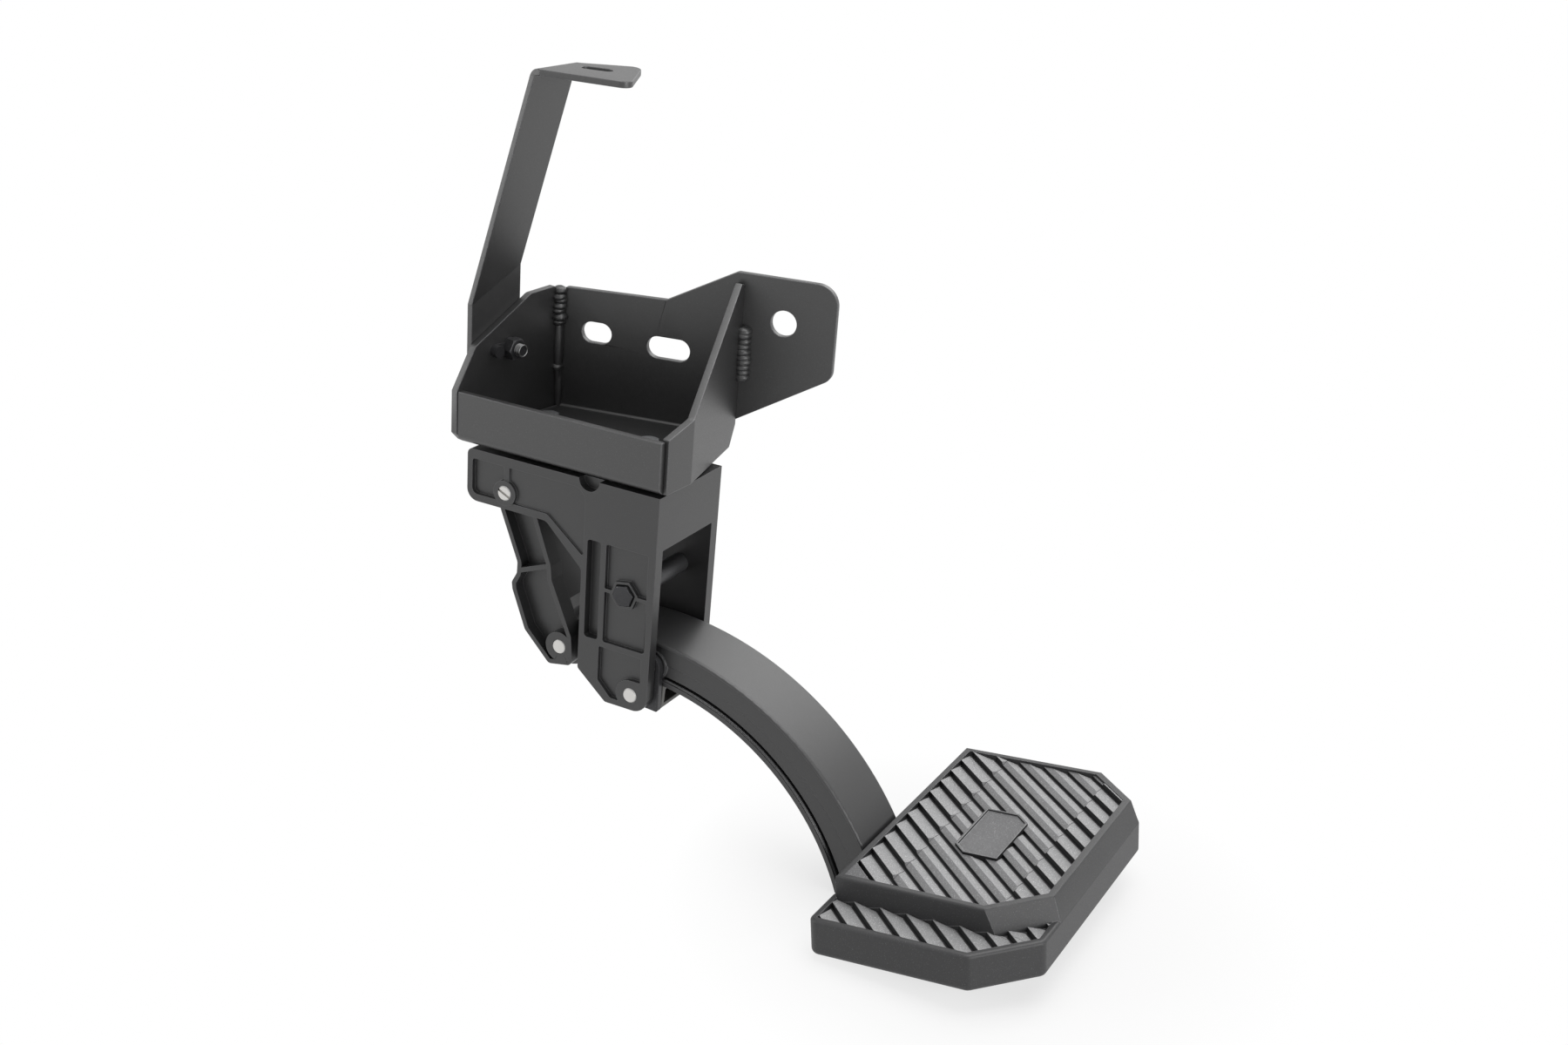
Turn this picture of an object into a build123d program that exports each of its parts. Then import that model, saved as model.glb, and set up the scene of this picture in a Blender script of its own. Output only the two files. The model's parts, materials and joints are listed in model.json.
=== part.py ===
from build123d import *
import os
from math import atan2, cos, degrees, hypot, radians, sin, sqrt

# Truck bed side step: a foot step on a curved arm that folds in under the truck bed.
# Lengths are in millimetres and angles in degrees.
# While it is modelled, X points outboard, Y points along the pivot pins and Z points up. X is 0 at the
# housing's front face, Y is 0 in the housing's middle plane and Z is 0 at the housing's top.
# The finished nodes are moved so that the origin is the centre of the round hole in the back plate.

# Fits
RUNNING = 0.05            # radial gap of a pin that turns in its bush
SLIP = 0.1                # radial gap of a bolt in its hole
SIDE_GAP = 0.5            # gap beside each moving link
TAIL_GAP = 0.3            # gap beside the arm's tail, between the rear link's ears
FOOT_GAP = 0.4            # gap round the arm's foot in the pad's wall

# Housing casting
HOUSING_WIDTH = 75.0
HOUSING_LENGTH = 143.0
HOUSING_DEPTH = 147.0     # from the top down to the bottom of the cheeks
CHEEK = 7.8               # thickness of each cheek
HOUSING_TOP = 9.0         # thickness of the top
HOUSING_END = 6.0         # thickness of the inboard end wall
FRONT_PANEL = 7.0         # thickness of the wall over the window
WINDOW_TOP = 36.8         # depth of the window's upper edge below the top
FLANGE_DEPTH = 35.0       # depth of the long inboard part of the cheeks
COLUMN_LENGTH = 54.5      # length of the deep outboard part of the cheeks
SHOULDER = (27.7, 25.6)   # run and fall of the slope from the flange to the column
FOOT_CUT = (21.5, 18.0)   # run and rise of the cut at the column's inboard foot
RIM = 4.0                 # width of the rim round the pockets
UPPER_RIM = 6.5           # width of the rim along the cheek's top edge
POCKET = 3.0              # depth of the cheek's pockets
SHALLOW_POCKET = 1.4      # depth of the cheek's wide upper pocket
SLOT_POCKET = 6.0         # depth of the narrow upright pocket
SLOT_WIDTH = 10.0         # width of the narrow upright pocket
BOLT_RIB = 2.4            # width of the rib through the stop bolt's boss
NOTCH_R = 7.5             # half-round notch in the cheek's top edge
BOSS_PROUD = 1.0          # how far the rear pivot's boss stands out of the cheek
REAR_BOSS_R = 8.5
FRONT_BOSS_R = 10.5
BRACKET_BOLTS = (24.0, 12.0, 13.0)    # from the inboard end, from the column's edge and from the cheeks

# Pivots of the linkage
REAR_PIVOT_INSET = 29.5   # from the housing's inboard end
REAR_PIVOT_DROP = 24.0
FRONT_PIVOT_INSET = 14.5  # from the housing's front face
FRONT_PIVOT_RISE = 10.0   # above the bottom of the cheeks
ARM_FROM_FRONT = (7.5, 19.0)
TAIL_FROM_ARM = (-67.5, -5.5)
STOP_FROM_FRONT = (-8.0, 67.0)
PIN_R = 5.0
BUSH_WALL = 1.5
PIN_CHAMFER = 0.6
PIN_PROUD = 0.4           # how far a pin's end stands out of the cheek
PIN_RECESS = 0.3          # gap from the tail pin's end to the cheek
DRIVER_SLOT = (1.6, 1.6)  # width and depth of the slot in the rear pivot screw

# Fasteners of eight millimetres
BOLT_R = 4.0
HEX_ACROSS = 13.0
HEX_HEAD = 5.3
HEX_NUT = 6.5
HEX_GAP = 0.6             # gap round a hexagon in its recess
HEX_RECESS = 3.5          # depth of the recess for the stop bolt's head
HEX_BOSS_WALL = 1.7
HEX_TURN = 10.0
WASHER_R = 8.0
WASHER = 1.6
THREAD_PROUD = 2.0        # length of thread that stands out of a nut
SLEEVE_R = 6.5

# Rear link casting
EAR = 12.0                # thickness of each ear
EAR_POCKET = 8.0          # depth of the pocket in an ear's outer face
EAR_RIM = 3.2
LINK_EYE_R = 12.5         # round upper end of the link
LINK_BOSS_R = 10.2
LINK_RIB_AT = 53.0        # distance of the cross rib from the upper pivot
LINK_WEB = 4.0            # thickness of the web that joins the ears
LINK_WEB_SPAN = (15.0, 79.0)

# Front link plates
FRONT_PLATE = 4.3
FRONT_EYE_R = 9.5
ARM_EYE_R = 8.5
LOBE_AT = (14.5, -9.0)    # tip of the plate's lobe, from the front pivot
LOBE_R = 1.5

# Arm, a curved box section
ARM_TOP_R = 205.0
ARM_TOP_CREST = (-16.8, 17.0)     # highest point of the top's arc, from the pivot
ARM_BELLY_R = 163.6
ARM_BELLY_CREST = (-12.1, -11.5)  # highest point of the belly's arc, from the pivot
ARM_EDGE = 2.5            # radius of the arm's long upper edges
ARM_LIP = 2.0             # thickness of metal over the side recess
ARM_FLANGE = 3.2          # thickness of the arm's lower flange
ARM_RECESS = 1.2          # depth of the arm's side recess
ARM_STEP = 0.6            # extra depth of the recess's lower half
ARM_STEP_DROP = 13.5      # distance of that step below the top
ARM_GROOVE = (3.0, 5.0)   # height and depth of the groove above the lower flange
ARM_INSET = 0.5           # how far each deeper cut lies inside the one before it
ARM_BOSS_R = 10.0
TAIL_INSET = 0.8          # how far the narrow tail lies inside the arm's upper and lower faces
TAIL_EYE_R = 16.5
TAIL_NECK = 23.5          # length of the narrow tail past the tail pivot
EYE_TRAVEL = 7.3          # how far the tail pin wanders across the eye, each way
EYE_SHIFT = 4.0           # how far it wanders towards the arm's pivot
EYE_GAP = 0.4

# Stop shoe under the arm, as distances from the arm's pivot
SHOE_BACK = -7.0
SHOE_FRONT = 8.0
SHOE_DEPTH = 29.5
SHOE_WALL = 3.5
SHOE_SIDE_GAP = 0.2       # how far the shoe's sides lie inside the arm's
SHOE_SCREW_R = 3.0
SHOE_SCREW_HEAD = (5.2, 2.6)
SHOE_SPOT = 0.7           # depth of the flat that each screw head sits on
SHOE_SCREW_AT = (2.4, 12.0)   # outboard of the pivot, and to each side of the middle plane
SHOE_SCREW_BITE = 4.6     # length of screw in the arm

# Step pad, in its own frame: x outboard, y away from the near end, z up from the tread
PAD_REACH = 158.9         # from the arm's pivot to the tread's inboard edge
PAD_OVER_ARM = 5.9851     # height of the tread over the arm's top there
PAD_NEAR_REACH = 66.4     # from the middle plane to the tread's near end
PAD_TILT = 7.3
PAD_LENGTH = 197.0
PAD_WIDTH = 126.6
PAD_CHAMFER = 30.8
PAD_FLARE = 5.0           # how far the outboard sides flare out at the ledge's level
LEDGE_DROP = 14.2
LEDGE_REACH = 30.0        # how far the ledge stands out towards the near side
LEDGE_OVERHANG = 4.0      # how far the ledge stands out inboard
PAD_DEPTH = 38.0
PAD_WALL = 4.5
PAD_SKIN = 5.0            # thickness of metal under the tread
PAD_RIB = 3.0             # thickness of the ribs on the underside
PAD_RIB_LIFT = 2.0        # height of those ribs above the pad's lower edge
PAD_RIB_X = (32.0, 64.0, 96.0)
PAD_RIB_Y = (3.0, 38.5, 94.3, 130.0, 163.0)
PAD_EDGE = 1.2            # radius of the tread block's upper edge
PAD_CORNER_R = 3.0
LEDGE_EDGE = 2.2
PAD_FOOT_EDGE = 4.0       # radius of the pad's lower edge
TREAD_DEPTH = 3.6
TREAD_PITCH = 11.9        # from rib to rib, square to the ribs
TREAD_RIM = 4.5           # width of the flat rim round the tread
TREAD_PHASE = -10.6       # place of one rib's steep side, square to the ribs
RIB_LEAN = 0.5            # lean of the ribs' steep sides
RIB_ROOT = 0.8            # flat at the foot of each ramp
FLAT_DROP = 1.5           # how far the ribs' middle stretch is lowered
FLAT_BAND = (32.0, 102.0)
FLAT_RAMP = 3.0           # length of the slopes at the ends of that stretch
PANEL_SIZE = (29.0, 58.0)
PANEL_CENTRE = (63.5, 88.7)
PANEL_CORNER_R = 6.0
FOOT_LENGTH = 74.0
FOOT_THICK = 10.0
FOOT_CORNER_R = 6.0
FOOT_BOLTS = (54.0, 26.0)
FOOT_BOLT_START = 10.0    # from the pad's inboard wall to the first bolts
FOOT_HEAD = (7.0, 4.4)    # radius and height of the pad bolts' heads
FOOT_HEAD_GAP = 0.5
PAD_BOSS_R = 8.0
PAD_BOLT_BITE = 14.0      # length of bolt in the pad

# Bracket sheet metal
SHEET = 4.8
FOLD_R = 2.0              # inner radius of the sheet's folds
TRAY_GAP = 2.1            # thickness of the spacers between housing and tray
TRAY_FRONT_REACH = 2.5    # how far the tray's front wall stands out past the cheek
TRAY_LEFT_REACH = 11.4    # how far the tray stands out past the housing's inboard end
TRAY_RIGHT = 0.4
FRONT_WALL_TOP = 36.1
LEFT_WALL_LENGTH = 91.5
LEFT_WALL_TURN = 8.42
LEFT_WALL_HEIGHT = 89.5
LEFT_WALL_FOOT = 6.0              # cut at the wall's lower front corner
LEFT_WALL_CUT = (4.4, 1.8)        # cut at its upper rear corner
LEFT_WALL_SLOPE = (26.2, 1.1)     # start of its slope, from the upper rear corner
LEFT_WALL_KNEE = (16.1, 62.5)     # end of that slope, from the lower front corner
CORNER_SLIT = (1.4, 1.8)  # slit between the left wall and the back plate
PLATE_TURN = 10.9
PLATE_LENGTH = 186.0
PLATE_LEFT_TOP = 88.4
PLATE_DIP = (72.0, 90.3)
PLATE_PEAK = (119.0, 115.8)
PLATE_TOP_R = 14.0
PLATE_LOW_R = 9.0
PLATE_RIGHT_LOW = 55.0    # height of the plate's lower right corner
WALL_MEETS_PLATE = 124.3  # place of the right wall's outer face along the plate
PLATE_SLOPE_LOW = 15.5    # height of the plate's lower edge at the right wall
HOLE_AT = (151.6, 86.8)
HOLE_R = 8.5
SLOTS = ((25.0, 60.7, 20.8, 7.0), (75.2, 57.8, 29.6, 7.3))   # place, height, length and half width
RIGHT_WALL_FOOT = (2.6, 3.9, 31.4)    # outer face past the tray at the front and at the bend, bend's place
RIGHT_WALL_TOPS = (37.0, 43.8, 110.2, 108.7)
RIGHT_WALL_PEAK_BACK = 5.3
RIGHT_WALL_CUT = (10.3, 12.9)

# Top strap, on the left wall's outer face
STRAP = 4.0
STRAP_WIDTH = 47.5
STRAP_START = 17.0
STRAP_FOOT = 38.0
STRAP_BEND = 97.0
STRAP_TOP = 237.0
STRAP_LEAN = 27.5         # outboard lean from the bend to the top
STRAP_DRIFT = 22.5        # rearward lean from the bend to the top
STRAP_FOLD_R = 2.5
STRAP_BOLT_AT = (46.0, 56.5)
TAB_CORNER_R = 8.0
TAB_REAR = (40.9, 20.4)         # tab's rear outboard corner, from the strap's upper rear corner
TAB_FRONT = (62.3, 19.0)        # tab's front outboard corner, from the strap's upper front corner
TAB_SLOT = (22.0, 4.5)          # length over all and half width
TAB_SLOT_AT = (23.5, 36.9)      # from the strap's upper front corner
TAB_SLOT_TURN = 21.0
NUT_TAB = (13.1, 8.0)     # length and width of the holding tab on the strap's nut
NUT_NUB = (4.0, 5.0)      # radius and height of the nub at the tab's end

# Weld beads, each row given as radius, lowest centre and highest centre
CORNER_BEAD = (5.4, 66.0, 82.2)
CORNER_TACK = (4.4, 34.0, 34.0)
WALL_BEAD = (6.6, 50.0, 77.0)
BEAD_PITCH = 5.4


# Places worked out from the sizes above

def plus(point, step):
    return (point[0] + step[0], point[1] + step[1])


def arc_height(centre, radius, x):
    """Height of an arc's upper side over a place along X."""
    return centre[1] + sqrt(radius**2 - (x - centre[0]) ** 2)


INNER_HALF = HOUSING_WIDTH / 2 - CHEEK          # half the gap between the cheeks
LINK_HALF = INNER_HALF - SIDE_GAP               # half the width over both links
TAIL_HALF = LINK_HALF - EAR - TAIL_GAP
ARM_HALF = LINK_HALF - FRONT_PLATE - SIDE_GAP
BORE_R = PIN_R + RUNNING
BUSH_R = BORE_R + BUSH_WALL
REAR_PIVOT = (-HOUSING_LENGTH + REAR_PIVOT_INSET, -REAR_PIVOT_DROP)
FRONT_PIVOT = (-FRONT_PIVOT_INSET, -HOUSING_DEPTH + FRONT_PIVOT_RISE)
ARM_PIVOT = plus(FRONT_PIVOT, ARM_FROM_FRONT)
TAIL_PIVOT = plus(ARM_PIVOT, TAIL_FROM_ARM)
STOP_CENTRE = plus(FRONT_PIVOT, STOP_FROM_FRONT)
ARM_TOP_CENTRE = plus(plus(ARM_PIVOT, ARM_TOP_CREST), (0, -ARM_TOP_R))
ARM_BELLY_CENTRE = plus(plus(ARM_PIVOT, ARM_BELLY_CREST), (0, -ARM_BELLY_R))
LINK_RUN = (TAIL_PIVOT[0] - REAR_PIVOT[0], TAIL_PIVOT[1] - REAR_PIVOT[1])
LINK_LENGTH = hypot(*LINK_RUN)
HEX_POCKET = HEX_ACROSS + 2 * HEX_GAP
HEX_BOSS = HEX_POCKET + 2 * HEX_BOSS_WALL
PAD_LEAN = radians(PAD_TILT)
PAD_X = ARM_PIVOT[0] + PAD_REACH
PAD_CORNER = (PAD_X, arc_height(ARM_TOP_CENTRE, ARM_TOP_R, PAD_X) + PAD_OVER_ARM)
TRAY_FRONT = -HOUSING_WIDTH / 2 - TRAY_FRONT_REACH
TRAY_LEFT = -HOUSING_LENGTH - TRAY_LEFT_REACH
FLOOR_TOP = TRAY_GAP + SHEET
PLATE_LEAN = radians(PLATE_TURN)
LEFT_LEAN = radians(LEFT_WALL_TURN)


def side_plane(y):
    """Upright plane at the given Y whose local x is X, local y is Z and normal is -Y."""
    return Plane(origin=(0, y, 0), x_dir=(1, 0, 0), z_dir=(0, -1, 0))


def across(sketch, y_low, y_high):
    """Prism from a side view sketch, between two values of Y."""
    return extrude(side_plane(y_high) * sketch, amount=y_high - y_low)


def upward(sketch, z_low, z_high):
    """Prism from a plan view sketch, between two heights."""
    return extrude(Pos(0, 0, z_low) * sketch, amount=z_high - z_low)


def polygon(*points):
    """Flat face from corners given as (x, y) or (x, y, corner radius)."""
    corners = [(p[0], p[1]) for p in points]
    radii = [p[2] if len(p) > 2 else 0 for p in points]
    if any(radii):
        return make_face(FilletPolyline(*corners, radius=radii, close=True))
    return make_face(Polyline(*corners, close=True))


def disc(centre, radius):
    return Pos(*centre) * Circle(radius)


def hexagon(across_flats, turn=0):
    """Hexagon with the given distance between its flats."""
    return Rot(0, 0, turn) * RegularPolygon(across_flats / 2, 6, major_radius=False)


def slot(centre, length, half_width, turn=0):
    """Slot with round ends and the given length over all."""
    return Pos(*centre) * Rot(0, 0, turn) * SlotOverall(length, 2 * half_width)


def rounded_box(low, high, radius):
    """Flat rectangle with round corners, from its lowest corner to its highest."""
    centre = ((low[0] + high[0]) / 2, (low[1] + high[1]) / 2)
    return Pos(*centre) * RectangleRounded(high[0] - low[0], high[1] - low[1], radius)


def corner_space(corner, side, radius):
    """Space between a square corner and a round one, above the corner and to one side of it."""
    middle = (corner[0] + side * radius, corner[1] + radius)
    square = Pos(corner[0] + side * radius / 2, corner[1] + radius / 2) * Rectangle(radius, radius)
    return square - disc(middle, radius)


def box_between(low, high):
    """Box from its lowest corner to its highest corner."""
    size = [b - a for a, b in zip(low, high)]
    return Pos(*low) * Box(*size, align=(Align.MIN, Align.MIN, Align.MIN))


def column(radius, z_low, z_high):
    """Upright cylinder on the Z axis."""
    return Pos(0, 0, z_low) * Cylinder(radius, z_high - z_low, align=(Align.CENTER, Align.CENTER, Align.MIN))


def pin(centre, radius, y_low, y_high):
    """Round pin across the part, with both ends chamfered."""
    body = across(disc(centre, radius), y_low, y_high)
    return chamfer(body.edges().filter_by(GeomType.CIRCLE), PIN_CHAMFER)


def tube(centre, outer, inner, y_low, y_high):
    return across(disc(centre, outer) - disc(centre, inner), y_low, y_high)


def mirrored(near_part):
    """The same piece on the other side of the housing's middle plane."""
    return mirror(near_part, about=Plane.XZ)


def group(pieces):
    """Separate solids that share one node."""
    return Compound(children=[solid for piece in pieces for solid in piece.solids()])


# Fasteners, drawn upright with the head or nut on top

def hex_block(height, turn):
    """Hexagonal block on the origin's plane, with the corners of its upper end taken off."""
    crown_r = 0.475 * HEX_ACROSS
    crown = Cone(crown_r + height * sqrt(3), crown_r, height, align=(Align.CENTER, Align.CENTER, Align.MIN))
    return extrude(hexagon(HEX_ACROSS, turn), amount=height) & crown


def hex_bolt(length, turn=0):
    """Bolt that points down, with the underside of its head at the origin."""
    return hex_block(HEX_HEAD, turn) + column(BOLT_R, -length, 0)


def hex_nut(turn=0):
    """Nut that stands on the origin's plane."""
    return hex_block(HEX_NUT, turn) - column(BOLT_R, -1, HEX_NUT + 1)


def washer(thickness):
    """Washer that stands on the origin's plane."""
    return column(WASHER_R, 0, thickness) - column(BOLT_R + SLIP, -1, thickness + 1)


# Housing

def cheek_outline():
    """Side view of a cheek: a long shallow flange inboard and a deep column outboard."""
    return polygon(
        (-HOUSING_LENGTH, 0, 4.0),
        (0, 0),
        (-2.0, -HOUSING_DEPTH, FRONT_BOSS_R),
        (-COLUMN_LENGTH + FOOT_CUT[0], -HOUSING_DEPTH, 3.0),
        (-COLUMN_LENGTH, -HOUSING_DEPTH + FOOT_CUT[1], 3.0),
        (-COLUMN_LENGTH, -FLANGE_DEPTH - SHOULDER[1], 4.0),
        (-COLUMN_LENGTH - SHOULDER[0], -FLANGE_DEPTH, 6.0),
        (-HOUSING_LENGTH, -FLANGE_DEPTH, 8.0),
    )


def front_boss():
    """Raised metal round the front pivot, merged with the rim below and beside it."""
    x, z = FRONT_PIVOT
    corner = polygon((x, z + FRONT_BOSS_R), (0, z + FRONT_BOSS_R), (0, -HOUSING_DEPTH), (x, -HOUSING_DEPTH))
    return disc(FRONT_PIVOT, FRONT_BOSS_R) + corner


def flange_pockets():
    """The small inboard pocket and the wide one beside it, under one rim."""
    low = -FLANGE_DEPTH + RIM + 1.0
    rib_x = REAR_PIVOT[0] - 1.2
    right = -COLUMN_LENGTH + 1.0
    small = polygon(
        (-HOUSING_LENGTH + RIM, -UPPER_RIM, 2.0),
        (rib_x, -UPPER_RIM, 1.0),
        (rib_x, low, 1.0),
        (-HOUSING_LENGTH + RIM, low, 4.0),
    )
    wide = polygon(
        (rib_x + RIM, -UPPER_RIM, 1.0),
        (right, -UPPER_RIM, 9.0),
        (right, -FLANGE_DEPTH - SHOULDER[1] + 2.2 * RIM, 1.0),
        (-COLUMN_LENGTH - SHOULDER[0] + 0.7, low, 5.0),
        (rib_x + RIM, low, 1.0),
    )
    boss = disc(REAR_PIVOT, REAR_BOSS_R)
    return small - boss, wide - boss


def column_pockets():
    """The narrow slot, the bolt's pocket with its rib and boss, and the pocket over the front pivot."""
    upper = -WINDOW_TOP - 2.3
    lower = FRONT_PIVOT[1] + 3 * FRONT_BOSS_R
    slot_x = -COLUMN_LENGTH + RIM
    wide_x = slot_x + SLOT_WIDTH + RIM
    front_x = -1.5 * RIM
    low_x = wide_x - 2.5
    narrow = rounded_box((slot_x, lower), (slot_x + SLOT_WIDTH, upper), 2.0)
    bolt_pocket = rounded_box((wide_x, lower), (front_x, upper), 1.5)
    bolt_pocket -= Pos(*STOP_CENTRE) * Rectangle(COLUMN_LENGTH, BOLT_RIB)
    bolt_pocket -= Pos(*STOP_CENTRE) * hexagon(HEX_BOSS, HEX_TURN)
    pivot_pocket = polygon(
        (low_x, lower - RIM, 1.0),
        (front_x - 1.5, lower - RIM, 1.0),
        (front_x - 1.5, -HOUSING_DEPTH + RIM, 1.0),
        (-COLUMN_LENGTH + FOOT_CUT[0] + RIM, -HOUSING_DEPTH + RIM, 2.0),
        (low_x, -HOUSING_DEPTH + FOOT_CUT[1] - RIM, 2.0),
    )
    return narrow, bolt_pocket, pivot_pocket - front_boss()


def cheek_cuts():
    """Everything that is cut into the near cheek's outer face."""
    outer = -HOUSING_WIDTH / 2
    small, wide = flange_pockets()
    narrow, bolt_pocket, pivot_pocket = column_pockets()
    notch = disc((-COLUMN_LENGTH + 3.5, 0), NOTCH_R)
    recess = Pos(*STOP_CENTRE) * hexagon(HEX_POCKET, HEX_TURN)
    return [
        across(small, outer, outer + POCKET),
        across(wide, outer, outer + SHALLOW_POCKET),
        across(narrow, outer, outer + SLOT_POCKET),
        across(bolt_pocket, outer, outer + POCKET),
        across(pivot_pocket, outer, outer + POCKET),
        across(notch, outer, outer + SLOT_POCKET),
        across(recess, outer, outer + HEX_RECESS),
    ]


def bracket_bolt_places():
    """The four bolts that hold the tray on the housing."""
    inboard, past_column, inset = BRACKET_BOLTS
    half = INNER_HALF - inset
    return [(x, y) for x in (-HOUSING_LENGTH + inboard, -COLUMN_LENGTH + past_column) for y in (-half, half)]


def make_housing():
    half = HOUSING_WIDTH / 2
    body = across(cheek_outline(), -half, half)
    hollow = polygon(
        (-HOUSING_LENGTH + HOUSING_END, -HOUSING_TOP, 2.0),
        (-FRONT_PANEL, -HOUSING_TOP, 2.0),
        (-FRONT_PANEL, -WINDOW_TOP),
        (COLUMN_LENGTH, -WINDOW_TOP),
        (COLUMN_LENGTH, -2 * HOUSING_DEPTH),
        (-HOUSING_LENGTH + HOUSING_END, -2 * HOUSING_DEPTH),
    )
    body -= across(hollow, -INNER_HALF, INNER_HALF)
    for cut in cheek_cuts():
        body -= cut
        body -= mirrored(cut)
    boss = across(disc(REAR_PIVOT, REAR_BOSS_R), -half - BOSS_PROUD, -half + POCKET)
    body += boss
    body += mirrored(boss)
    for centre, radius in ((REAR_PIVOT, PIN_R), (FRONT_PIVOT, PIN_R), (STOP_CENTRE, BOLT_R + SLIP)):
        body -= across(disc(centre, radius), -HOUSING_WIDTH, HOUSING_WIDTH)
    for x, y in bracket_bolt_places():
        body -= Pos(x, y, 0) * column(BOLT_R, -2 * HOUSING_TOP, HOUSING_TOP)
    return body


def bracket_fasteners():
    """The bolts, washers and spacers between the tray floor and the housing, as three groups."""
    bolt = hex_bolt(WASHER + FLOOR_TOP + HOUSING_TOP)
    bolts = [Pos(x, y, FLOOR_TOP + WASHER) * bolt for x, y in bracket_bolt_places()]
    washers = [Pos(x, y, FLOOR_TOP) * washer(WASHER) for x, y in bracket_bolt_places()]
    spacers = [Pos(x, y, 0) * washer(TRAY_GAP) for x, y in bracket_bolt_places()]
    return group(bolts), group(washers), group(spacers)


def stop_set():
    """The bolt through both cheeks, its sleeve between them and its nut."""
    x, z = STOP_CENTRE
    seat = HOUSING_WIDTH / 2 - HEX_RECESS
    bolt = Pos(x, -seat, z) * Rot(90, 0, 0) * hex_bolt(2 * seat + HEX_NUT + THREAD_PROUD, HEX_TURN)
    sleeve = tube(STOP_CENTRE, SLEEVE_R, BOLT_R + SLIP, -INNER_HALF, INNER_HALF)
    nut = Pos(x, seat, z) * Rot(-90, 0, 0) * hex_nut(-HEX_TURN)
    return bolt, sleeve, nut


def rear_pivot_set():
    """The slotted screw through cheeks and rear link, and the nut on its far end."""
    x, z = REAR_PIVOT
    face = HOUSING_WIDTH / 2 + BOSS_PROUD
    head = -face - PIN_PROUD
    screw = pin(REAR_PIVOT, PIN_R, head, face - PIN_PROUD)
    screw += across(disc(REAR_PIVOT, BOLT_R), 0, face + HEX_NUT + THREAD_PROUD)
    width, depth = DRIVER_SLOT
    screw -= Pos(x, head, z) * Rot(0, 25, 0) * Box(4 * PIN_R, 2 * depth, width)
    nut = Pos(x, face, z) * Rot(-90, 0, 0) * hex_nut()
    return screw, nut


# Rear link

def on_link(sketch):
    """Puts a sketch drawn along the link on the link: x runs from its upper pivot to its lower one."""
    return Pos(*REAR_PIVOT) * Rot(0, 0, degrees(atan2(LINK_RUN[1], LINK_RUN[0]))) * sketch


def link_outline():
    """Side view of the link along its own axis: a slim neck and a broad kinked foot."""
    end = LINK_LENGTH
    knee = LINK_RIB_AT
    outline = polygon(
        (0, -LINK_EYE_R),
        (11.7, -14.1, 4.0),
        (knee - 5.6, -13.2, 6.0),
        (knee + 1.4, -16.3, 3.0),
        (knee + 6.7, -22.4, 3.0),
        (knee + 11.5, -23.6, 2.0),
        (end - 14.4, -23.3, 6.0),
        (end + 10.2, -12.1, 4.0),
        (end + 13.2, 3.5, 3.0),
        (end + 11.2, 6.9, 2.0),
        (end - 5.6, 11.8, 5.0),
        (knee + 9.1, 9.6, 4.0),
        (knee + 0.1, 12.1, 4.0),
        (0, LINK_EYE_R),
    )
    return outline + Circle(LINK_EYE_R)


def make_rear_link():
    outline = link_outline()
    pocket = offset(outline, amount=-EAR_RIM, kind=Kind.INTERSECTION)
    pocket -= Circle(LINK_BOSS_R)
    pocket -= disc((LINK_LENGTH, 0), LINK_BOSS_R)
    pocket -= Pos(LINK_RIB_AT, 0) * Rectangle(EAR_RIM, LINK_LENGTH)
    ear = across(on_link(outline), -LINK_HALF, -LINK_HALF + EAR)
    ear -= across(on_link(pocket), -LINK_HALF, -LINK_HALF + EAR_POCKET)
    low, high = LINK_WEB_SPAN
    web = Pos((low + high) / 2, 9.5 - LINK_WEB / 2) * Rectangle(high - low, LINK_WEB)
    body = ear + mirrored(ear)
    body += across(on_link(web), -LINK_HALF + EAR_POCKET, LINK_HALF - EAR_POCKET)
    body -= across(disc(REAR_PIVOT, BUSH_R), -LINK_HALF, LINK_HALF)
    body -= across(disc(TAIL_PIVOT, PIN_R), -LINK_HALF, LINK_HALF)
    return body


def make_rear_link_bushes():
    bush = tube(REAR_PIVOT, BUSH_R, BORE_R, -INNER_HALF + PIN_RECESS, -LINK_HALF + EAR)
    return group([bush, mirrored(bush)])


def make_tail_pin():
    half = INNER_HALF - PIN_RECESS
    return pin(TAIL_PIVOT, PIN_R, -half, half)


# Front link

def make_front_link_plate():
    """The near side plate: two eyes and a small lobe, joined by straight tangents."""
    circles = [disc(FRONT_PIVOT, FRONT_EYE_R), disc(ARM_PIVOT, ARM_EYE_R), disc(plus(FRONT_PIVOT, LOBE_AT), LOBE_R)]
    outline = make_hull([circle.edge() for circle in circles])
    outline -= disc(FRONT_PIVOT, BORE_R)
    outline -= disc(ARM_PIVOT, PIN_R)
    return across(outline, -LINK_HALF, -LINK_HALF + FRONT_PLATE)


def make_front_pin():
    """The near pin, through the cheek and the side plate."""
    return pin(FRONT_PIVOT, PIN_R, -HOUSING_WIDTH / 2 - PIN_PROUD, -LINK_HALF + FRONT_PLATE)


# Arm

def pad_frame():
    """The step pad's own frame, with its origin at the tread's near inboard corner."""
    x, z = PAD_CORNER
    outboard = (cos(PAD_LEAN), 0, sin(PAD_LEAN))
    return Plane(origin=(x, -PAD_NEAR_REACH, z), x_dir=outboard, z_dir=(-sin(PAD_LEAN), 0, cos(PAD_LEAN)))


def pad_side_point(x, z):
    """Side view place of a point in the pad's frame."""
    return (
        PAD_CORNER[0] + x * cos(PAD_LEAN) - z * sin(PAD_LEAN),
        PAD_CORNER[1] + x * sin(PAD_LEAN) + z * cos(PAD_LEAN),
    )


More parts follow.
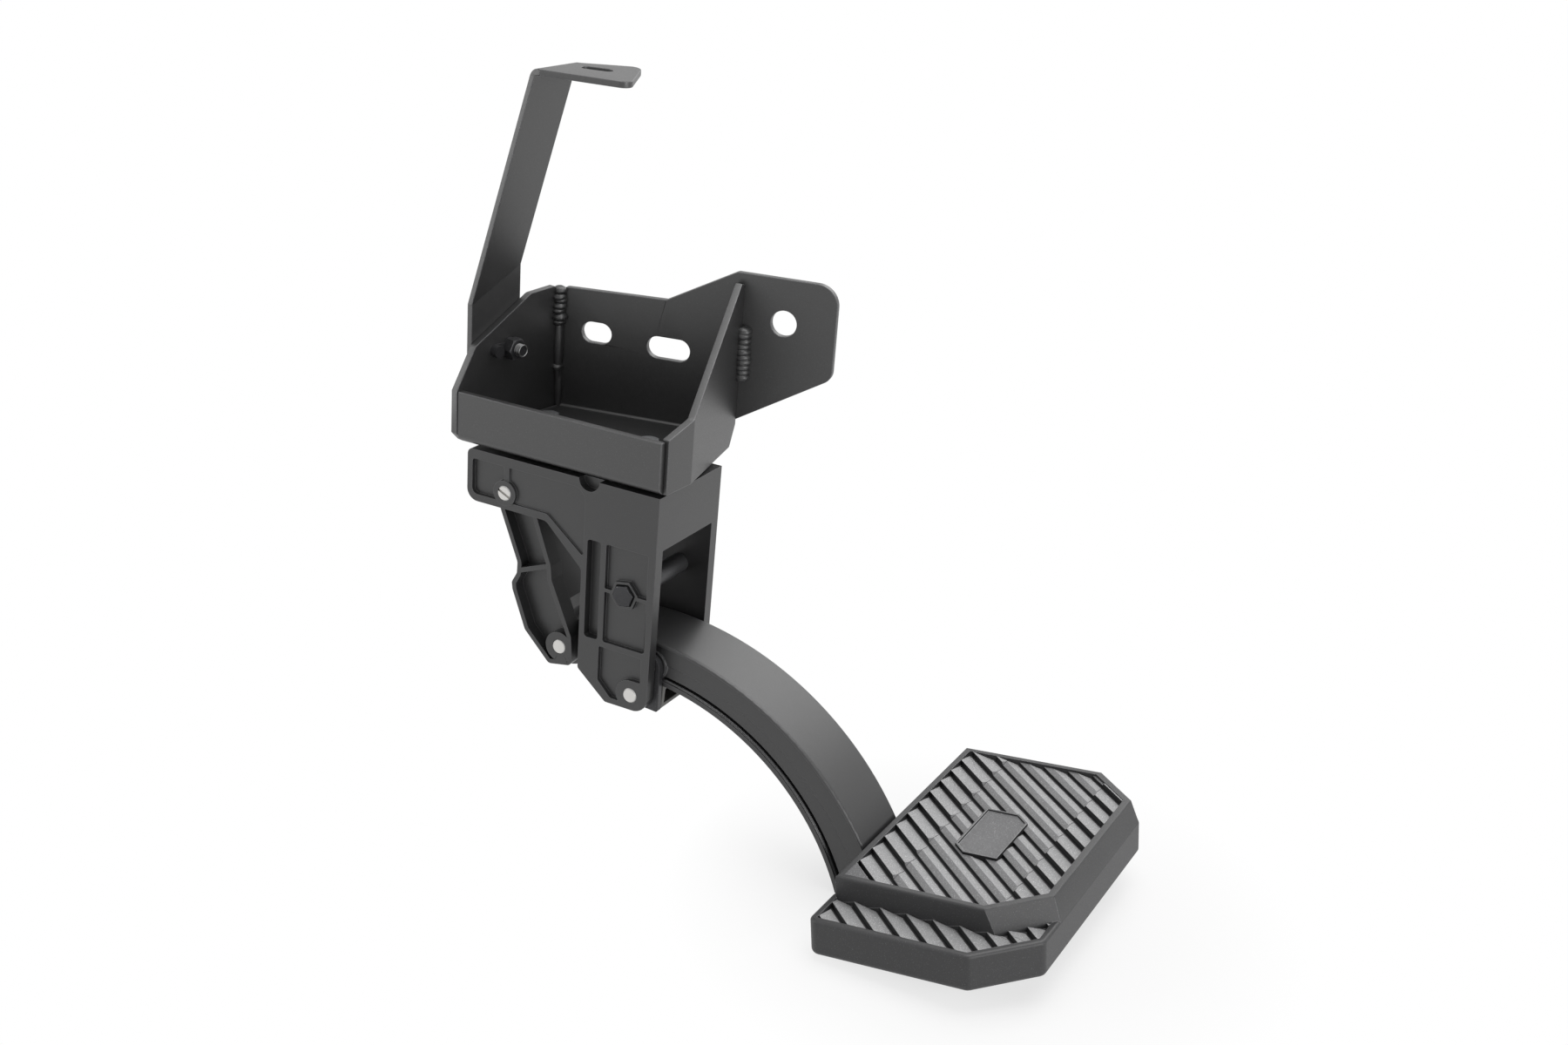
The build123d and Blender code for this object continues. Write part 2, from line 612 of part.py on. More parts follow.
def arm_band(below_top, above_belly):
    """Side view of the arm between its two arcs, each moved inward by the given amount."""
    return disc(ARM_TOP_CENTRE, ARM_TOP_R - below_top) - disc(ARM_BELLY_CENTRE, ARM_BELLY_R + above_belly)


def arm_reach(start, past=0.0):
    """Side view of the space from the given X to the pad's inboard wall and lower edge, or past them."""
    high = ARM_PIVOT[1] + 2 * ARM_TOP_CREST[1]
    low = -PAD_DEPTH - past
    return polygon(
        (start, high),
        pad_side_point(past, high - PAD_CORNER[1]),
        pad_side_point(past, low),
        pad_side_point(-PAD_LENGTH / 2, low),
        (start, TAIL_PIVOT[1] - 2 * TAIL_EYE_R - past),
    )


def arm_recess(region, inset, depth):
    """One cut in the arm's near side, kept off its lower flange, its inboard end and its pivot's boss."""
    start = TAIL_PIVOT[0] + TAIL_NECK + ARM_FLANGE + inset
    region -= disc(ARM_BELLY_CENTRE, ARM_BELLY_R + ARM_FLANGE + inset)
    region = (region & arm_reach(start, ARM_FLANGE)) - disc(ARM_PIVOT, ARM_BOSS_R + inset)
    return across(region, -ARM_HALF - 1, -ARM_HALF + depth)


def arm_side_cuts():
    """The cuts in the arm's near side: the recess, its deeper lower half and the groove below it."""
    groove_high, groove_deep = ARM_GROOVE
    groove_roof = ARM_BELLY_R + ARM_FLANGE + groove_high
    return [
        arm_recess(disc(ARM_TOP_CENTRE, ARM_TOP_R - ARM_LIP), 0, ARM_RECESS),
        arm_recess(disc(ARM_TOP_CENTRE, ARM_TOP_R - ARM_STEP_DROP), ARM_INSET, ARM_RECESS + ARM_STEP),
        arm_recess(disc(ARM_BELLY_CENTRE, groove_roof), 2 * ARM_INSET, groove_deep),
    ]


def foot_bolt_places():
    """Places of the pad's bolts in the pad's frame."""
    along, apart = FOOT_BOLTS
    return [(FOOT_BOLT_START + dx, PAD_NEAR_REACH + dy) for dx in (0, along) for dy in (-apart / 2, apart / 2)]


def foot_outline(gap):
    """Plan of the arm's foot in the pad's frame, grown by a gap."""
    half = ARM_HALF + gap
    return polygon(
        (-2.0, PAD_NEAR_REACH - half),
        (FOOT_LENGTH + gap, PAD_NEAR_REACH - half, FOOT_CORNER_R),
        (FOOT_LENGTH + gap, PAD_NEAR_REACH + half, FOOT_CORNER_R),
        (-2.0, PAD_NEAR_REACH + half),
    )


def make_foot():
    """The tongue under the pad, with its counterbored bolt holes, in the pad's frame."""
    foot = upward(foot_outline(0), -PAD_DEPTH, -PAD_DEPTH + FOOT_THICK)
    head_r, head_high = FOOT_HEAD
    for x, y in foot_bolt_places():
        foot -= Pos(x, y, 0) * column(BOLT_R + SLIP, -2 * PAD_DEPTH, 0)
        foot -= Pos(x, y, 0) * column(head_r + FOOT_HEAD_GAP, -2 * PAD_DEPTH, -PAD_DEPTH + head_high)
    return foot


def make_step_arm():
    wide = across(arm_band(0, 0) & arm_reach(TAIL_PIVOT[0] + TAIL_NECK), -ARM_HALF, ARM_HALF)
    top_edges = [
        edge for edge in wide.edges().filter_by(GeomType.CIRCLE) if abs(edge.radius - ARM_TOP_R) < 0.01
    ]
    body = fillet(top_edges, ARM_EDGE)
    for cut in arm_side_cuts():
        body -= cut
        body -= mirrored(cut)
    tail = arm_band(TAIL_INSET, TAIL_INSET) & arm_reach(TAIL_PIVOT[0])
    tail -= arm_reach(TAIL_PIVOT[0] + TAIL_NECK + ARM_FLANGE)
    tail += disc(TAIL_PIVOT, TAIL_EYE_R)
    body += across(tail, -TAIL_HALF, TAIL_HALF)
    towards_pivot = degrees(atan2(-TAIL_FROM_ARM[1], -TAIL_FROM_ARM[0]))
    eye = Pos(EYE_SHIFT / 2, 0) * RectangleRounded(
        2 * (PIN_R + EYE_SHIFT / 2 + EYE_GAP), 2 * (PIN_R + EYE_TRAVEL + EYE_GAP), PIN_R
    )
    body -= across(Pos(*TAIL_PIVOT) * Rot(0, 0, towards_pivot) * eye, -TAIL_HALF, TAIL_HALF)
    body -= across(disc(ARM_PIVOT, BUSH_R), -ARM_HALF, ARM_HALF)
    for place in shoe_screw_places():
        body -= place * column(SHOE_SCREW_R, -SHOE_SCREW_BITE, SHOE_SCREW_BITE)
    body += pad_frame() * make_foot()
    return body


def make_arm_bush():
    return tube(ARM_PIVOT, BUSH_R, BORE_R, -ARM_HALF, ARM_HALF)


def make_arm_pin():
    return pin(ARM_PIVOT, PIN_R, -LINK_HALF, LINK_HALF)


# Stop shoe

def shoe_screw_places():
    """Places where the shoe screws enter the arm, pointing up."""
    outboard, apart = SHOE_SCREW_AT
    x = ARM_PIVOT[0] + outboard
    belly = arc_height(ARM_BELLY_CENTRE, ARM_BELLY_R, x)
    return [Pos(x, y, belly) for y in (-apart, apart)]


def make_stop_shoe():
    x, z = ARM_PIVOT
    half = ARM_HALF - SHOE_SIDE_GAP
    low = z - SHOE_DEPTH
    outer = polygon(
        (x + SHOE_BACK, z),
        (x + SHOE_BACK, low + 4.5, 1.0),
        (x + SHOE_BACK + 4.0, low, 1.0),
        (x + SHOE_FRONT, low, 1.5),
        (x + SHOE_FRONT + 2.0, z),
    ) & disc(ARM_BELLY_CENTRE, ARM_BELLY_R)
    inner = polygon(
        (x + SHOE_BACK + SHOE_WALL, z),
        (x + SHOE_BACK + SHOE_WALL, low + SHOE_WALL, 1.5),
        (x + 3 * SHOE_FRONT, low + SHOE_WALL),
        (x + 3 * SHOE_FRONT, z),
    ) & disc(ARM_BELLY_CENTRE, ARM_BELLY_R - SHOE_WALL)
    shoe = across(outer, -half, half) - across(inner, -half + SHOE_WALL, half - SHOE_WALL)
    for place in shoe_screw_places():
        shoe -= place * column(SHOE_SCREW_R + SLIP, -2 * SHOE_WALL, SHOE_WALL)
        shoe -= place * column(SHOE_SCREW_HEAD[0] + SLIP, -2 * SHOE_WALL, -SHOE_WALL + SHOE_SPOT)
    return shoe


def make_shoe_screws():
    head_r, head_high = SHOE_SCREW_HEAD
    seat = -SHOE_WALL + SHOE_SPOT
    screw = column(SHOE_SCREW_R, seat, SHOE_SCREW_BITE) + column(head_r, seat - head_high, seat)
    return group([place * screw for place in shoe_screw_places()])


# Step pad, in the pad's frame

def pad_outline(flare):
    """Plan of the tread block, with its outboard side and its two corner cuts moved out by a flare."""
    cut_x = PAD_WIDTH - PAD_CHAMFER + sqrt(2) * flare
    cut_y = PAD_CHAMFER - (sqrt(2) - 1) * flare
    return [
        (0, 0),
        (cut_x, 0),
        (PAD_WIDTH + flare, cut_y),
        (PAD_WIDTH + flare, PAD_LENGTH - cut_y),
        (cut_x, PAD_LENGTH),
        (0, PAD_LENGTH),
    ]


def lower_outline():
    """Plan of the whole lower body, the tread block's flared foot and the ledge together."""
    flared = pad_outline(PAD_FLARE)
    edge = PAD_WIDTH + PAD_FLARE
    cut = PAD_CHAMFER + 3.0
    return polygon(
        (-LEDGE_OVERHANG, -LEDGE_REACH, 2 * PAD_CORNER_R),
        (edge - cut, -LEDGE_REACH, 2 * PAD_CORNER_R),
        (edge, -LEDGE_REACH + cut, 2 * PAD_CORNER_R),
        flared[3],
        flared[4],
        flared[5],
        (0, 2.5 * LEDGE_OVERHANG),
        (-LEDGE_OVERHANG, LEDGE_OVERHANG / 2),
    )


def tread(region, top):
    """Slanted saw-tooth ribs that fill a region, with their crests at the given height."""
    low = -(PAD_WIDTH + PAD_FLARE + LEDGE_REACH) / sqrt(2)
    high = (PAD_LENGTH + LEDGE_OVERHANG) / sqrt(2)
    first = int((low - TREAD_PHASE) // TREAD_PITCH)
    last = int((high - TREAD_PHASE) // TREAD_PITCH) + 1
    base = -TREAD_DEPTH - 0.4
    teeth = [(TREAD_PHASE + first * TREAD_PITCH, base)]
    for k in range(first, last):
        foot = TREAD_PHASE + k * TREAD_PITCH
        teeth.append((foot, -TREAD_DEPTH))
        teeth.append((foot + RIB_LEAN, 0))
        teeth.append((foot + TREAD_PITCH - RIB_ROOT, -TREAD_DEPTH))
    teeth.append((TREAD_PHASE + last * TREAD_PITCH, -TREAD_DEPTH))
    teeth.append((TREAD_PHASE + last * TREAD_PITCH, base))
    section = Plane(origin=(0, 0, top), x_dir=(-1, 1, 0), z_dir=(1, 1, 0))
    ribs = extrude(section * polygon(*teeth), amount=2 * PAD_LENGTH, both=True)
    return ribs & upward(region, top + base, top)


def flat_band_cut():
    """The trough that lowers the ribs' middle stretch, with a slope at each end."""
    low, high = FLAT_BAND
    trough = polygon(
        (low - FLAT_RAMP, FLAT_DROP), (low, -FLAT_DROP), (high, -FLAT_DROP), (high + FLAT_RAMP, FLAT_DROP)
    )
    return across(trough, 0, PAD_LENGTH)


def pad_cavity():
    """The hollow under the pad, deep under the tread block and shallower under the ledge."""
    deep = offset(polygon(*pad_outline(0)), amount=-PAD_WALL, kind=Kind.INTERSECTION)
    wide = offset(lower_outline(), amount=-PAD_WALL, kind=Kind.INTERSECTION)
    cavity = upward(deep, -PAD_DEPTH, -TREAD_DEPTH - PAD_SKIN)
    return cavity + upward(wide, -PAD_DEPTH, -LEDGE_DROP - TREAD_DEPTH - PAD_SKIN)


def pad_ribs():
    """The grid of ribs under the pad, kept off the arm's foot."""
    low = -PAD_DEPTH + PAD_RIB_LIFT
    over_foot = -PAD_DEPTH + FOOT_THICK
    far = 2 * PAD_LENGTH
    along_x = [box_between((-far, y, low), (far, y + PAD_RIB, 0)) for y in PAD_RIB_Y]
    along_y = [box_between((x, -far, over_foot), (x + PAD_RIB, far, 0)) for x in PAD_RIB_X]
    ribs = along_x[0]
    for rib in along_x[1:] + along_y:
        ribs += rib
    for x, y in foot_bolt_places():
        ribs += Pos(x, y, 0) * column(PAD_BOSS_R, over_foot, 0)
    return ribs


def make_step_pad():
    foot_drop = LEDGE_DROP + LEDGE_EDGE
    block_foot = polygon(*pad_outline(PAD_FLARE))
    block = loft([Pos(0, 0, -foot_drop) * block_foot, polygon(*pad_outline(0))], ruled=True)
    block = fillet(block.edges().group_by(Axis.Z)[-1], PAD_EDGE)
    base = upward(lower_outline(), -PAD_DEPTH, -LEDGE_DROP)
    base = fillet(base.edges().group_by(Axis.Z)[0], PAD_FOOT_EDGE)
    ledge_edges = [edge for edge in base.edges().group_by(Axis.Z)[-1] if edge.center().Y < LEDGE_OVERHANG]
    base = fillet(ledge_edges, LEDGE_EDGE)
    body = base + block
    top_region = offset(polygon(*pad_outline(0)), amount=-TREAD_RIM, kind=Kind.INTERSECTION)
    flare_at_ledge = PAD_FLARE * LEDGE_DROP / foot_drop
    ledge_region = offset(lower_outline(), amount=-TREAD_RIM, kind=Kind.INTERSECTION)
    ledge_region -= polygon(*pad_outline(flare_at_ledge))
    body -= upward(top_region, -TREAD_DEPTH, 1)
    body -= upward(ledge_region, -LEDGE_DROP - TREAD_DEPTH, -LEDGE_DROP)
    body += tread(top_region, 0) - flat_band_cut()
    body += tread(ledge_region, -LEDGE_DROP)
    panel = Pos(*PANEL_CENTRE) * RectangleRounded(*PANEL_SIZE, PANEL_CORNER_R)
    body += upward(panel, -TREAD_DEPTH - 0.4, 0)
    cavity = pad_cavity()
    body -= cavity - (pad_ribs() & cavity)
    body -= upward(foot_outline(FOOT_GAP), -2 * PAD_DEPTH, -PAD_DEPTH + FOOT_THICK)
    for x, y in foot_bolt_places():
        body -= Pos(x, y, 0) * column(BOLT_R, -PAD_DEPTH, -PAD_DEPTH + FOOT_THICK + PAD_BOLT_BITE)
    return pad_frame() * body


def make_pad_bolts():
    head_r, head_high = FOOT_HEAD
    seat = -PAD_DEPTH + head_high
    bolt = column(BOLT_R, seat, -PAD_DEPTH + FOOT_THICK + PAD_BOLT_BITE) + column(head_r, -PAD_DEPTH, seat)
    return group([pad_frame() * (Pos(x, y, 0) * bolt) for x, y in foot_bolt_places()])


# Bracket

def left_frame():
    """Frame of the left wall's outer face: x into the tray, y along the wall, z up."""
    return Plane(origin=(TRAY_LEFT, TRAY_FRONT, 0), x_dir=(cos(LEFT_LEAN), -sin(LEFT_LEAN), 0), z_dir=(0, 0, 1))


def left_point(depth, along):
    """Plan place of a point in the left wall's frame."""
    return (
        TRAY_LEFT + depth * cos(LEFT_LEAN) + along * sin(LEFT_LEAN),
        TRAY_FRONT - depth * sin(LEFT_LEAN) + along * cos(LEFT_LEAN),
    )


PLATE_START = plus(left_point(SHEET, LEFT_WALL_LENGTH), CORNER_SLIT)


def plate_point(along, behind=0):
    """Plan place of a point on the back plate's front face, or behind it."""
    return (
        PLATE_START[0] + along * cos(PLATE_LEAN) - behind * sin(PLATE_LEAN),
        PLATE_START[1] + along * sin(PLATE_LEAN) + behind * cos(PLATE_LEAN),
    )


def plate_frame():
    """Frame of the back plate's front face: x along the plate, y up, z towards the front."""
    along = (cos(PLATE_LEAN), sin(PLATE_LEAN), 0)
    return Plane(origin=(*PLATE_START, 0), x_dir=along, z_dir=(sin(PLATE_LEAN), -cos(PLATE_LEAN), 0))


def left_inner_x(y):
    """X of the left wall's inner face at the given Y."""
    x0, y0 = left_point(SHEET, 0)
    return x0 + (y - y0) * sin(LEFT_LEAN) / cos(LEFT_LEAN)


def right_wall_path(inward):
    """Plan path of the right wall's outer face, or of a line parallel to it inside the tray."""
    front, bend, bend_back = RIGHT_WALL_FOOT
    start = (TRAY_RIGHT + front, TRAY_FRONT + SHEET)
    knee = (TRAY_RIGHT + bend, TRAY_FRONT + bend_back)
    end = plate_point(WALL_MEETS_PLATE)
    first = atan2(knee[1] - start[1], knee[0] - start[0])
    second = atan2(end[1] - knee[1], end[0] - knee[0])
    middle = (first + second) / 2
    reach = inward / cos((second - first) / 2)
    return [
        (start[0] - inward * sin(first), start[1] + inward * cos(first)),
        (knee[0] - reach * sin(middle), knee[1] + reach * cos(middle)),
        plate_point(WALL_MEETS_PLATE - inward),
    ]


def right_wall_frame():
    """Frame of the right wall's outer face behind its bend: x along the wall, y up, z outboard."""
    bend, end = right_wall_path(0)[1:]
    run = (end[0] - bend[0], end[1] - bend[1], 0)
    return Plane(origin=(*bend, 0), x_dir=run, z_dir=(run[1], -run[0], 0))


def make_frame_plate():
    """The folded sheet: tray floor, low front wall and back plate."""
    fold_line = TRAY_FRONT + SHEET
    inner = right_wall_path(SHEET)
    floor_plan = polygon(
        (left_inner_x(TRAY_FRONT), TRAY_FRONT),
        (TRAY_RIGHT, TRAY_FRONT),
        (TRAY_RIGHT, fold_line),
        inner[0],
        (*inner[1], FOLD_R),
        inner[2],
        plate_point(WALL_MEETS_PLATE - SHEET, SHEET),
        plate_point(0, SHEET),
        plate_point(0),
        (left_inner_x(fold_line), fold_line),
    )
    wall_plan = polygon(
        (left_inner_x(TRAY_FRONT), TRAY_FRONT),
        (TRAY_RIGHT, TRAY_FRONT),
        (TRAY_RIGHT, fold_line),
        (left_inner_x(fold_line), fold_line),
    )
    plate_outline = polygon(
        (0, TRAY_GAP),
        (WALL_MEETS_PLATE - SHEET, TRAY_GAP),
        (WALL_MEETS_PLATE - SHEET, PLATE_SLOPE_LOW),
        (PLATE_LENGTH, PLATE_RIGHT_LOW, PLATE_LOW_R),
        (PLATE_LENGTH, PLATE_PEAK[1], PLATE_TOP_R),
        (*PLATE_PEAK, 4.0),
        (*PLATE_DIP, 2.0),
        (0, PLATE_LEFT_TOP, 4.0),
    )
    plate_outline -= disc(HOLE_AT, HOLE_R)
    for along, height, length, half in SLOTS:
        plate_outline -= slot((along, height), length, half)
    sheet = upward(floor_plan, TRAY_GAP, FLOOR_TOP)
    sheet += upward(wall_plan, TRAY_GAP, FRONT_WALL_TOP)
    sheet += extrude(plate_frame() * plate_outline, amount=-SHEET)
    front_view = Plane(origin=(TRAY_LEFT, 0, 0), x_dir=(0, 1, 0), z_dir=(1, 0, 0))
    rearward = (-sin(PLATE_LEAN), cos(PLATE_LEAN), 0)
    back_view = Plane(origin=(*PLATE_START, 0), x_dir=rearward, z_dir=(cos(PLATE_LEAN), sin(PLATE_LEAN), 0))
    front_run = TRAY_RIGHT - TRAY_LEFT
    back_run = WALL_MEETS_PLATE - SHEET
    sheet -= extrude(front_view * corner_space((TRAY_FRONT, TRAY_GAP), 1, FOLD_R + SHEET), amount=front_run)
    sheet -= extrude(back_view * corner_space((SHEET, TRAY_GAP), -1, FOLD_R + SHEET), amount=back_run)
    inside = upward(floor_plan, FLOOR_TOP, FLOOR_TOP + FOLD_R)
    sheet += extrude(front_view * corner_space((fold_line, FLOOR_TOP), 1, FOLD_R), amount=front_run) & inside
    sheet += extrude(back_view * corner_space((0, FLOOR_TOP), -1, FOLD_R), amount=back_run) & inside
    for x, y in bracket_bolt_places():
        sheet -= Pos(x, y, 0) * column(BOLT_R + SLIP, 0, 2 * FLOOR_TOP)
    return sheet


def make_left_wall():
    """Flat plate with a stepped upper edge and the strap bolt's hole, in the left wall's frame."""
    length = LEFT_WALL_LENGTH
    cut_run, cut_fall = LEFT_WALL_CUT
    slope_run, slope_fall = LEFT_WALL_SLOPE
    outline = polygon(
        (0, TRAY_GAP + LEFT_WALL_FOOT),
        (LEFT_WALL_FOOT, TRAY_GAP),
        (length, TRAY_GAP),
        (length, LEFT_WALL_HEIGHT - cut_fall),
        (length - cut_run, LEFT_WALL_HEIGHT),
        (length - slope_run, LEFT_WALL_HEIGHT - slope_fall, 6.0),
        (*LEFT_WALL_KNEE, 3.0),
        (0, FRONT_WALL_TOP),
    )
    outline -= disc(STRAP_BOLT_AT, BOLT_R + SLIP)
    return left_frame() * extrude(Plane.YZ * outline, amount=SHEET)


def make_right_wall():
    """Plate with one bend and a slanted upper edge."""
    outer = right_wall_path(0)
    inner = right_wall_path(SHEET)
    plan = polygon(
        outer[0],
        (*outer[1], FOLD_R + SHEET),
        outer[2],
        inner[2],
        (*inner[1], FOLD_R),
        inner[0],
    )
    length = hypot(outer[2][0] - outer[1][0], outer[2][1] - outer[1][1])
    front = hypot(outer[1][0] - outer[0][0], outer[1][1] - outer[0][1])
    front_top, bend_top, peak, back_top = RIGHT_WALL_TOPS
    cut_run, cut_rise = RIGHT_WALL_CUT
    side = polygon(
        (-front, TRAY_GAP),
        (length - cut_run, TRAY_GAP),
        (length, TRAY_GAP + cut_rise),
        (length, back_top),
        (length - RIGHT_WALL_PEAK_BACK, peak, 2.0),
        (0, bend_top, 8.0),
        (-front - 1, front_top),
    )
    return upward(plan, 0, 2 * peak) & extrude(right_wall_frame() * side, amount=4 * SHEET, both=True)


def bead_row(corner, radius, lowest, highest):
    """Row of fused beads up a corner."""
    row = Pos(*corner, lowest) * Sphere(radius)
    for k in range(round((highest - lowest) / BEAD_PITCH)):
        row += Pos(*corner, lowest + (k + 1) * BEAD_PITCH) * Sphere(radius)
    return row


def space_before(frame):
    """Deep slab of space that stands on a sheet's face."""
    return extrude(frame * Rectangle(2 * PLATE_LENGTH, 4 * PLATE_PEAK[1]), amount=4 * SHEET)


def make_weld_beads():
    left_end = left_point(SHEET, LEFT_WALL_LENGTH)
    left_face = Plane(origin=(*left_end, 0), x_dir=(0, 0, 1), z_dir=(cos(LEFT_LEAN), -sin(LEFT_LEAN), 0))
    corner = ((left_end[0] + PLATE_START[0]) / 2, (left_end[1] + PLATE_START[1]) / 2)
    joint = right_wall_path(0)[2]
    before_plate = space_before(plate_frame())
    in_tray = before_plate & space_before(left_face)
    return group([
        bead_row(corner, *CORNER_BEAD) & in_tray,
        bead_row(corner, *CORNER_TACK) & in_tray,
        bead_row(joint, *WALL_BEAD) & before_plate & space_before(right_wall_frame()),
    ])


# Top strap, in the left wall's frame

def strap_bar():
    """Upright foot, leaning bar and the root of the level tab, as one bent strip."""
    tab_low = STRAP_TOP - STRAP
    root = STRAP_LEAN + STRAP_FOLD_R + 0.5
    inner_top = STRAP_LEAN * (tab_low - STRAP_BEND) / (STRAP_TOP - STRAP_BEND)
    profile = polygon(
        (-STRAP, STRAP_FOOT),
        (-STRAP, STRAP_BEND, STRAP_FOLD_R + STRAP),
        (STRAP_LEAN - STRAP, STRAP_TOP, STRAP_FOLD_R + STRAP),
        (root, STRAP_TOP),
        (root, tab_low),
        (inner_top, tab_low, STRAP_FOLD_R),
        (0, STRAP_BEND, STRAP_FOLD_R),
        (0, STRAP_FOOT),
    )
    end = STRAP_START + STRAP_WIDTH
    side = polygon(
        (STRAP_START, STRAP_FOOT, 3.0),
        (end, STRAP_FOOT, 3.0),
        (end, STRAP_BEND),
        (end + STRAP_DRIFT, tab_low),
        (end + STRAP_DRIFT, STRAP_TOP + 1),
        (STRAP_START + STRAP_DRIFT, STRAP_TOP + 1),
        (STRAP_START + STRAP_DRIFT, tab_low),
        (STRAP_START, STRAP_BEND),
    )
    strip = across(profile, 0, LEFT_WALL_LENGTH + STRAP_DRIFT)
    return strip & extrude(Plane.YZ * side, amount=2 * STRAP_WIDTH, both=True)


def strap_tab():
    """The level tab at the top, wider away from the bar, with its slot."""
    front = (STRAP_LEAN, STRAP_START + STRAP_DRIFT)
    rear = (STRAP_LEAN, STRAP_START + STRAP_DRIFT + STRAP_WIDTH)
    root = STRAP_FOLD_R + 0.4
    plan = polygon(
        plus(front, (root, 0)),
        (*plus(front, TAB_FRONT), TAB_CORNER_R),
        (*plus(rear, TAB_REAR), TAB_CORNER_R),
        plus(rear, (root, 0)),
    )
    plan -= slot(plus(front, TAB_SLOT_AT), *TAB_SLOT, TAB_SLOT_TURN)
    return upward(plan, STRAP_TOP - STRAP, STRAP_TOP)


def make_top_strap():
    hole = extrude(Plane.YZ * disc(STRAP_BOLT_AT, BOLT_R + SLIP), amount=2 * STRAP, both=True)
    return left_frame() * (strap_bar() + strap_tab() - hole)


def strap_fasteners():
    """Bolt from outside, its washer, and the nut inside the tray with its holding tab and nub."""
    along, height = STRAP_BOLT_AT
    tab_run, tab_width = NUT_TAB
    nub_r, nub_high = NUT_NUB
    grip = WASHER + STRAP + SHEET + WASHER + HEX_NUT
    head = Pos(-STRAP - WASHER, along, height)
    bolt = head * Rot(0, -90, 0) * hex_bolt(grip + 2 * THREAD_PROUD)
    ring = head * Rot(0, 90, 0) * washer(WASHER)
    strip = slot((-tab_run / 2, 0), tab_run + tab_width, tab_width / 2) + Circle(HEX_ACROSS / 2)
    nut = extrude(strip - Circle(BOLT_R), amount=WASHER)
    nut += Pos(0, 0, WASHER) * hex_nut()
    nut += Pos(-tab_run, 0, 0) * column(nub_r, 0, nub_high)
    seat = Plane(origin=(SHEET, along, height), x_dir=(0, 1, 0), z_dir=(1, 0, 0))
    return left_frame() * bolt, left_frame() * ring, left_frame() * (seat * nut)


# Nodes

def all_nodes():
    """Every piece by its node's name."""
    bolts, bolt_washers, spacers = bracket_fasteners()
    stop_bolt, stop_sleeve, stop_nut = stop_set()
    rear_screw, rear_nut = rear_pivot_set()
    strap_bolt, strap_washer, strap_nut = strap_fasteners()
    front_plate = make_front_link_plate()
    front_pin = make_front_pin()
    return {
        "frame_plate": make_frame_plate(),
        "left_wall": make_left_wall(),
        "right_wall": make_right_wall(),
        "weld_beads": make_weld_beads(),
        "top_strap": make_top_strap(),
        "strap_bolt": strap_bolt,
        "strap_washer": strap_washer,
        "strap_nut": strap_nut,
        "housing": make_housing(),
        "housing_bolts": bolts,
        "housing_washers": bolt_washers,
        "housing_spacers": spacers,
        "stop_bolt": stop_bolt,
        "stop_sleeve": stop_sleeve,
        "stop_nut": stop_nut,
        "rear_pivot_screw": rear_screw,
        "rear_pivot_nut": rear_nut,
        "rear_link": make_rear_link(),
        "rear_link_bushes": make_rear_link_bushes(),
        "tail_pin": make_tail_pin(),
        "front_link_near": front_plate,
        "front_link_far": mirrored(front_plate),
        "front_pin_near": front_pin,
        "front_pin_far": mirrored(front_pin),
        "arm_pin": make_arm_pin(),
        "step_arm": make_step_arm(),
        "arm_bush": make_arm_bush(),
        "stop_shoe": make_stop_shoe(),
        "shoe_screws": make_shoe_screws(),
        "step_pad": make_step_pad(),
        "pad_bolts": make_pad_bolts(),
    }


os.makedirs("parts", exist_ok=True)
hole_x, hole_y = plate_point(HOLE_AT[0])
to_hole = Pos(-hole_x, -hole_y, -HOLE_AT[1])
for node, shape in all_nodes().items():
    export_step(to_hole * shape, f"parts/{node}.step")
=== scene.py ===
"""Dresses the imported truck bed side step: rounded edges, finishes, welds, thread, tread, studio and camera."""

import json
import logging
import math
from collections.abc import Callable
from dataclasses import dataclass, field
from enum import Enum

import bmesh
import bpy
from mathutils import Matrix, Vector
from mathutils.bvhtree import BVHTree

